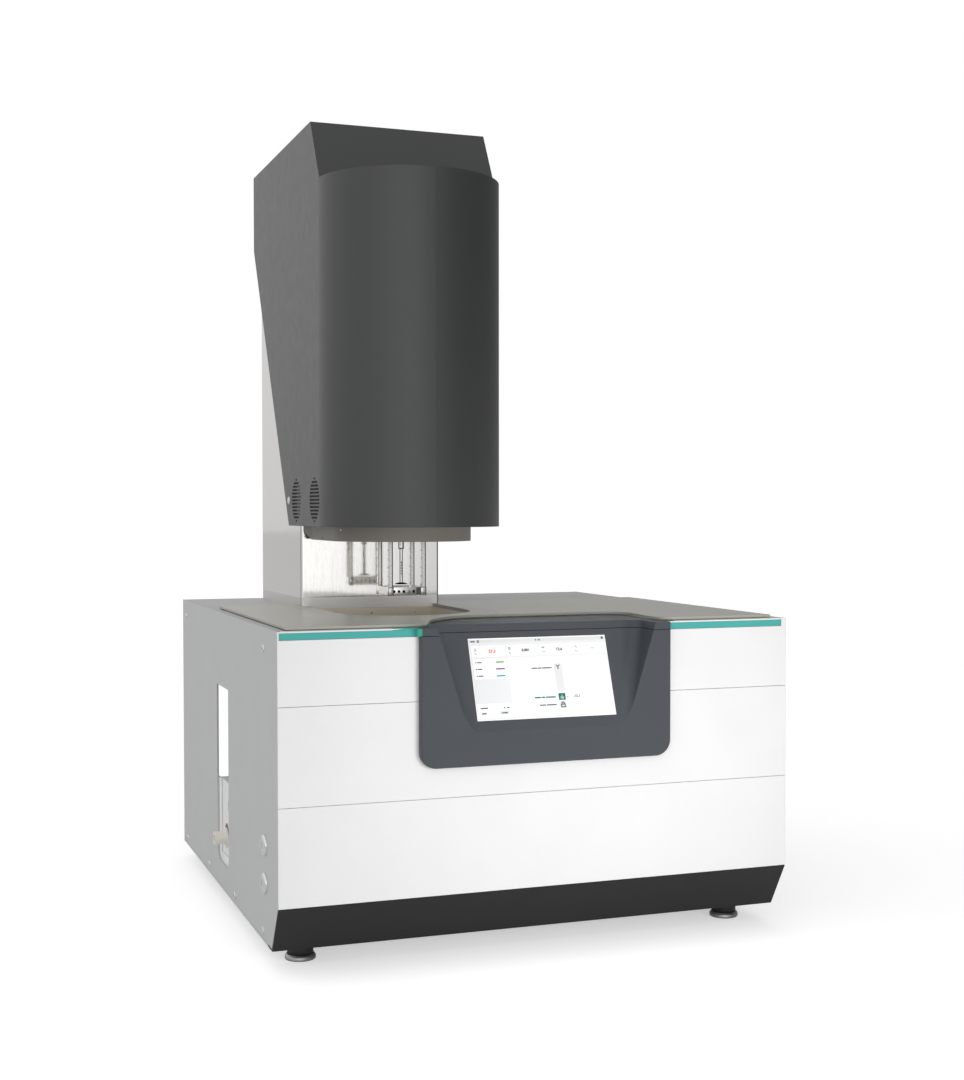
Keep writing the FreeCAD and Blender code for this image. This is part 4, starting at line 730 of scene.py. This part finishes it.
def beam_ends():
    """Bright blocks at the ends of both beams, and dark strips of painted shade along their edges and in the
    recess at the right end of the front beam.
    """
    bm = bmesh.new()
    for x0, x1 in end_blocks:
        for hy in (-1, 1):
            y = axis_y + bar_y * hy
            block(bm, x0, x1, y - end_half, y + end_half, 367.7, 377.3, 0.25)
    finish_mesh("frame_corners", bm, "bright_steel", "root", 30.0, plain_steel)
    bm = bmesh.new()
    for x0, x1 in end_blocks:
        for hy in (-1, 1):
            y = axis_y + (bar_y + end_half) * hy
            block(bm, x0, x0 + 0.9, y - 0.03, y + 0.03, 367.9, 377.1)
            block(bm, x1 - 1.2, x1, y - 0.03, y + 0.03, 367.9, 377.1)
            if hy < 0:
                block(bm, x0, x1, y - 0.03, y + 0.03, 376.4, 377.1)
    # Painted shade of the recess at the right end of the front beam
    block(bm, -84.4, -79.7, axis_y - 24.7, axis_y - 24.4, 368.4, 376.8)
    finish_mesh("corner_edges", bm, "black_plastic", "root", 30.0, painted_shade_grey)


def beam_front():
    """Bright plate on the front beam with a screw, and four near-black discs on it as painted shade of its
    holes.
    """
    hole_places = (-110.6, -105.1, -99.3, -87.6)
    screw_place = -93.1
    screw_profile = [(0, 0), (1.6, 0), (1.6, 0.1), (1.2, 0.3), (0.6, 0.3), (0.5, 0.15), (0, 0.15)]
    bm = bmesh.new()
    block(bm, -111.2, -84.5, axis_y - 24.8, axis_y - 24.5, 368.0, 377.0, 0.1)
    finish_mesh("beam_plate", bm, "bright_steel", "root", 30.0, plain_steel)
    bm = bmesh.new()
    # Near-black discs: painted shade of the plate's holes
    for x in hole_places:
        revolve(bm, pin(1.65, 0, 0.06), (x, beam_face, beam_centre), (0, -1, 0), 24)
    finish_mesh("beam_holes", bm, "black_plastic", "root", 40.0, dark_hole)
    bm = bmesh.new()
    revolve(bm, screw_profile, (screw_place, beam_face, beam_centre), (0, -1, 0), 24)
    finish_mesh("beam_screw", bm, "steel")


def rod_shades():
    """Painted shade: dark strips along the push rod's edges below and above its shoulder, a dark ring at the
    shoulder, and the shade over its plate.
    """
    foot_place = (axis_x, axis_y, 0)
    shoulder = [(3.3, rod_shoulder), (3.3, 421.2), (1.9, 421.2), (1.9, 419.95), (3.3, 419.95)]
    plate_cone = [(7.02, 379.5), (7.02, 380.15), (2.5, 381.45), (2.5, 381.55), (7.06, 380.2), (7.06, 379.5),
                  (7.02, 379.5)]
    bm = bmesh.new()
    for from_angle, to_angle in ((-76, -28), (104, 152), (-186, -138), (-6, 42)):
        upright_shell(bm, foot_place, 1.87, 382.0, rod_shoulder, from_angle, to_angle)
    for from_angle, to_angle in ((-62, -28), (118, 152), (-186, -152), (-6, 28)):
        upright_shell(bm, foot_place, 3.28, rod_shoulder + 0.2, bar_span[1], from_angle, to_angle)
    revolve(bm, shoulder, foot_place, (0, 0, 1), 32)
    finish_mesh("rod_edges", bm, "black_plastic", "push_shaft", 40.0, painted_shade_grey)
    bm = bmesh.new()
    revolve(bm, plate_cone, foot_place, (0, 0, 1))
    finish_mesh("plate_shade", bm, "black_plastic", "push_shaft", 40.0, dark_hole)


def head_vents():
    """Painted shade in the head's vents: a near-black disc behind each field and near-black rows on their
    face; a single hole ends each field.
    """
    field_radius = 24.2
    row_pitch = 4.0
    row_half = 1.1
    single_half = 3.4
    bm = bmesh.new()
    for y in vent_centres:
        # Near-black disc behind each vent field: painted shade
        revolve(bm, pin(25.5, 0, 0.4), (head_left + 1.55, y, vent_height), (1, 0, 0))
    finish_mesh("vent_backing_shade", bm, "black_plastic", "root", 40.0, dark_hole)
    bm = bmesh.new()
    for y in vent_centres:
        for row in range(-6, 7):
            half = max(single_half, math.sqrt(field_radius ** 2 - (row_pitch * row) ** 2) - 1.0)
            # The middle rows of the rear field start just before its centre
            shortened = y == vent_centres[0] and abs(row) < 5
            start = -0.15 * half if shortened else -half
            z = vent_height + row_pitch * row
            # Near-black rows on the vents' face: painted shade of the holes
            block(bm, head_left - 0.04, head_left, y + start, y + half, z - row_half, z + row_half)
    finish_mesh("vent_shade_rows", bm, "black_plastic", "root", 40.0, dark_hole)


def column_lines():
    """Dark lines at the column's upright corners: painted reflection of dark surroundings in its folds."""
    fold = 2.5
    lift = 0.03
    left = axis_x - column_half
    right_fold = (axis_x + column_half - fold, column_front + fold)
    bm = bmesh.new()
    upright_shell(bm, right_fold, fold + lift, *column_span, -62, 3, 5)
    block(bm, left - lift, left + lift, column_front + 3.0, column_front + 4.6, *column_span)
    finish_mesh("column_lines", bm, "steel", "root", 40.0, painted_shade_grey)


def coolant_duct():
    """Skirt of the coolant box behind the hose slot, and the shade round its cup."""
    skirt_low = duct_low - 13.0
    cup_y = 2.5
    cup_z = 83.0
    bm = bmesh.new()
    block(bm, box_left, box_right, 30.0, 55.0, skirt_low, duct_high, 0.2)
    block(bm, box_left, box_right, -28.0, 30.0, skirt_low, duct_low + 2.0, 0.2)
    finish_mesh("duct_skirt", bm, "white_paint", "furnace", 30.0, box_paint)
    bm = bmesh.new()
    arcs = []
    for radius_y, radius_z in ((8.0, 10.0), (13.5, 16.5)):
        arc = []
        for k in range(13):
            a = math.radians(15 + 12.5 * k)
            place = (box_right + 0.05, cup_y + radius_y * math.cos(a), cup_z + radius_z * math.sin(a))
            arc.append(bm.verts.new(place))
        arcs.append(arc)
    inner, outer = arcs
    for k in range(12):
        bm.faces.new([inner[k], inner[k + 1], outer[k + 1], outer[k]])
    finish_mesh("duct_cup_shade", bm, "white_paint", "furnace", 30.0, painted_shade_grey)


def strip_return():
    """Return of the coloured strip on the ledge, along the cover's curve, and the strip's wider end, whose
    greener teal is a painted reflection.
    """
    low = body_top + 0.03
    high = body_top + 0.13
    front_edge = -297.4
    front_end = -140.5
    curve = [(-166.0, -289.0), (-157.0, -288.6), (-146.0, -286.6), (-134.0, -282.4), (-122.0, -270.0),
             (-110.0, -240.5), (-103.0, -214.0)]
    lip = ((-170.0, 343.5), (-153.0, 345.1), (-140.6, 345.1), (-140.6, 343.5))
    bm = bmesh.new()
    rings = []
    for x, y in curve:
        near = front_edge if x < front_end else y - 4.5
        corners = ((near, low), (near, high), (y, high), (y, low))
        rings.append([bm.verts.new((x, across, z)) for across, z in corners])
    skin(bm, rings)
    bm.faces.new(rings[0])
    bm.faces.new(rings[-1][::-1])
    outer, inner = [[bm.verts.new((x, y, z)) for x, z in lip] for y in (-297.62, -297.52)]
    plate(bm, outer, inner)
    finish_mesh("strip_return", bm, "teal_paint")
    bm = bmesh.new()
    block(bm, -143.1, -138.2, bezel_front + 0.05, -304.8, 337.2, body_top, 0.2)
    finish_mesh("strip_end_cap", bm, "teal_paint", "root", 40.0, cap_reflection_teal)


def cover_seam():
    """Faint seam on the cover beside the opening."""
    half_width = 0.3
    lift = 0.03
    points = [(-8.0, -66.0), (-5.3, -82.4), (1.2, -94.0), (4.2, -109.4), (3.2, -125.0), (1.0, -138.4),
              (-3.9, -158.3), (-13.4, -176.2), (-27.9, -193.5)]
    bm = bmesh.new()
    for (xa, ya), (xb, yb) in zip(points, points[1:]):
        d = Vector((xb - xa, yb - ya)).normalized()
        n = Vector((-d.y, d.x)) * half_width
        quad = [(xa + n.x, ya + n.y), (xa - n.x, ya - n.y), (xb - n.x, yb - n.y), (xb + n.x, yb + n.y)]
        bm.faces.new([bm.verts.new((x, y, cover_top + lift)) for x, y in quad])
    finish_mesh("cover_seam", bm, "olive_paint", "root", 40.0, seam_grey)


def screw_thread():
    """Thread of the lead screw as a ribbon round its shaft."""
    per_turn = 20
    ribbon = ((4.96, -1.3), (4.98, -0.8), (4.98, 0.8), (4.96, 1.3))
    bottom, top = thread_span
    bm = bmesh.new()
    rows = []
    for k in range(round((top - bottom) * per_turn / thread_pitch) + 1):
        a = 2 * math.pi * k / per_turn
        z = bottom + thread_pitch * k / per_turn
        rows.append([bm.verts.new((axis_x + r * math.cos(a), screw_y + r * math.sin(a), z + dz))
                     for r, dz in ribbon])
    for low, high in zip(rows, rows[1:]):
        for k in range(3):
            bm.faces.new([low[k], high[k], high[k + 1], low[k + 1]])
    finish_mesh("screw_thread", bm, "bright_steel", "screw")


def small_screws():
    """Small screws of the ring under the head and of the opening's liner."""
    bm = bmesh.new()
    button_head(bm, (-171.7, -108.2, 442.4), (-0.959, -0.284, 0), 1.3, 0.4, 0.5)
    finish_mesh("ring_screws", bm, "bright_steel")
    bm = bmesh.new()
    button_head(bm, (-175.0, -32.7, 432.1), (-1, 0, 0), 1.2, 0.3, 0.4)
    finish_mesh("ring_set_screw", bm, "black_plastic", "root", 40.0, dark_hole)
    bm = bmesh.new()
    for x in (axis_x - 55.0, axis_x, axis_x + 55.0):
        button_head(bm, (x, column_front - 1.3, 338.5), (0, -1, 0), 1.4, 0.4, 0.5)
    finish_mesh("liner_screws", bm, "bright_steel")


side_screws()
gas_ports()
feet()
frame_bores()
bar_edges()
beam_ends()
beam_front()
rod_shades()
head_vents()
column_lines()
coolant_duct()
strip_return()
cover_seam()
screw_thread()
small_screws()

# Floor: its glow shows to the camera and faintly in mirror images, and lights nothing else
floor_glow = 0.47
mirrored_share = 0.1
floor_corners = ((-30, -2.6, 0), (30, -2.6, 0), (30, 30, 0), (-30, 30, 0))
light_tone = (0.82, 0.82, 0.82, 1)
dark_tone = (0.80, 0.80, 0.80, 1)
bm = bmesh.new()
bm.faces.new([bm.verts.new(corner) for corner in floor_corners])
data = bpy.data.meshes.new("floor")
bm.to_mesh(data)
bm.free()
floor = bpy.data.objects.new("floor", data)
bpy.context.scene.collection.objects.link(floor)
ground = Material("floor_paper", 0.9)
ground.set("Base Color", ground.mix(ground.spread(ground.noise(3.0)), light_tone, dark_tone))
path = ground.node("ShaderNodeLightPath").outputs
mirrored = ground.maths("MULTIPLY", path["Is Glossy Ray"], mirrored_share)
seen = ground.maths("MAXIMUM", path["Is Camera Ray"], mirrored)
ground.set("Emission Color", (1, 1, 1, 1))
ground.set("Emission Strength", ground.maths("MULTIPLY", seen, floor_glow))
ground.set("Specular IOR Level", 0.0)
data.materials.append(ground.data)

# Studio light: a dim surround with soft patches, and plain white where the camera sees it
world = bpy.data.worlds.new("studio")
world.use_nodes = True
bpy.context.scene.world = world
sky = Nodes(world.node_tree)
way = sky.node("ShaderNodeTexCoord").outputs["Generated"]


def lobe(azimuth, elevation, power, amount):
    """A soft patch of light; azimuth 0 is left of the object and 90 in front."""
    a, e = math.radians(azimuth), math.radians(elevation)
    direction = (-math.cos(a) * math.cos(e), -math.sin(a) * math.cos(e), math.sin(e))
    dot = sky.vectors("DOT_PRODUCT", way, direction, output="Value")
    half = sky.maths("MULTIPLY_ADD", dot, 0.5, 0.5)
    return sky.maths("MULTIPLY", sky.maths("POWER", half, power), amount)


# Azimuth, elevation, narrowness and strength of each patch, over a dim surround
patches = ((70, 10, 8, 0.95), (-95, 5, 9, 0.5), (85, 0, 80, 0.58), (-25, 20, 4, 0.64), (40, 80, 2.5, 0.54))
light = 0.03
for patch in patches:
    light = sky.maths("ADD", light, lobe(*patch))
rays = sky.node("ShaderNodeLightPath").outputs
pick = sky.node("ShaderNodeMix", data_type="FLOAT")
seen_share, light_level, seen_level = pick.inputs[0], pick.inputs[2], pick.inputs[3]
sky.feed(seen_share, sky.maths("MAXIMUM", rays["Is Camera Ray"], rays["Is Transmission Ray"]))
sky.feed(light_level, light)
sky.feed(seen_level, 1.0)
background = sky.tree.nodes["Background"]
sky.feed(background.inputs["Strength"], pick.outputs[0])
sky.feed(background.inputs["Color"], (1, 1, 1, 1))


def soft_box(name, place, target, size, power, spread):
    """A rectangular lamp that mirror images don't show; lengths in metres, power in watts."""
    lamp = bpy.data.lights.new(name, "AREA")
    lamp.shape = "RECTANGLE"
    lamp.size, lamp.size_y = size
    lamp.energy = power
    lamp.spread = math.radians(spread)
    obj = bpy.data.objects.new(name, lamp)
    bpy.context.scene.collection.objects.link(obj)
    obj.location = place
    obj.rotation_euler = (Vector(target) - Vector(place)).to_track_quat("-Z", "Y").to_euler()
    obj.visible_glossy = False


soft_box("low_front", (0.35, -1.2, 0.25), (0.0, -0.3, 0.2), (0.5, 0.4), 0.95, 70.0)

# Camera of the photo, with its turns in degrees
tilt = 90 - 1.659
roll = 0.027
heading = -20.108
camera_data = bpy.data.cameras.new("camera")
camera_data.lens = 51.98
camera_data.sensor_width = 36.0
camera_data.sensor_fit = "AUTO"
camera_data.shift_x = -0.01317
camera_data.shift_y = 0.01357
camera_data.clip_end = 200.0
camera = bpy.data.objects.new("camera", camera_data)
bpy.context.scene.collection.objects.link(camera)
camera.location = (-0.6079, -1.8042, 0.4651)
camera.rotation_euler = [math.radians(angle) for angle in (tilt, roll, heading)]
bpy.context.scene.camera = camera

scene = bpy.context.scene
scene.view_settings.view_transform = "Standard"
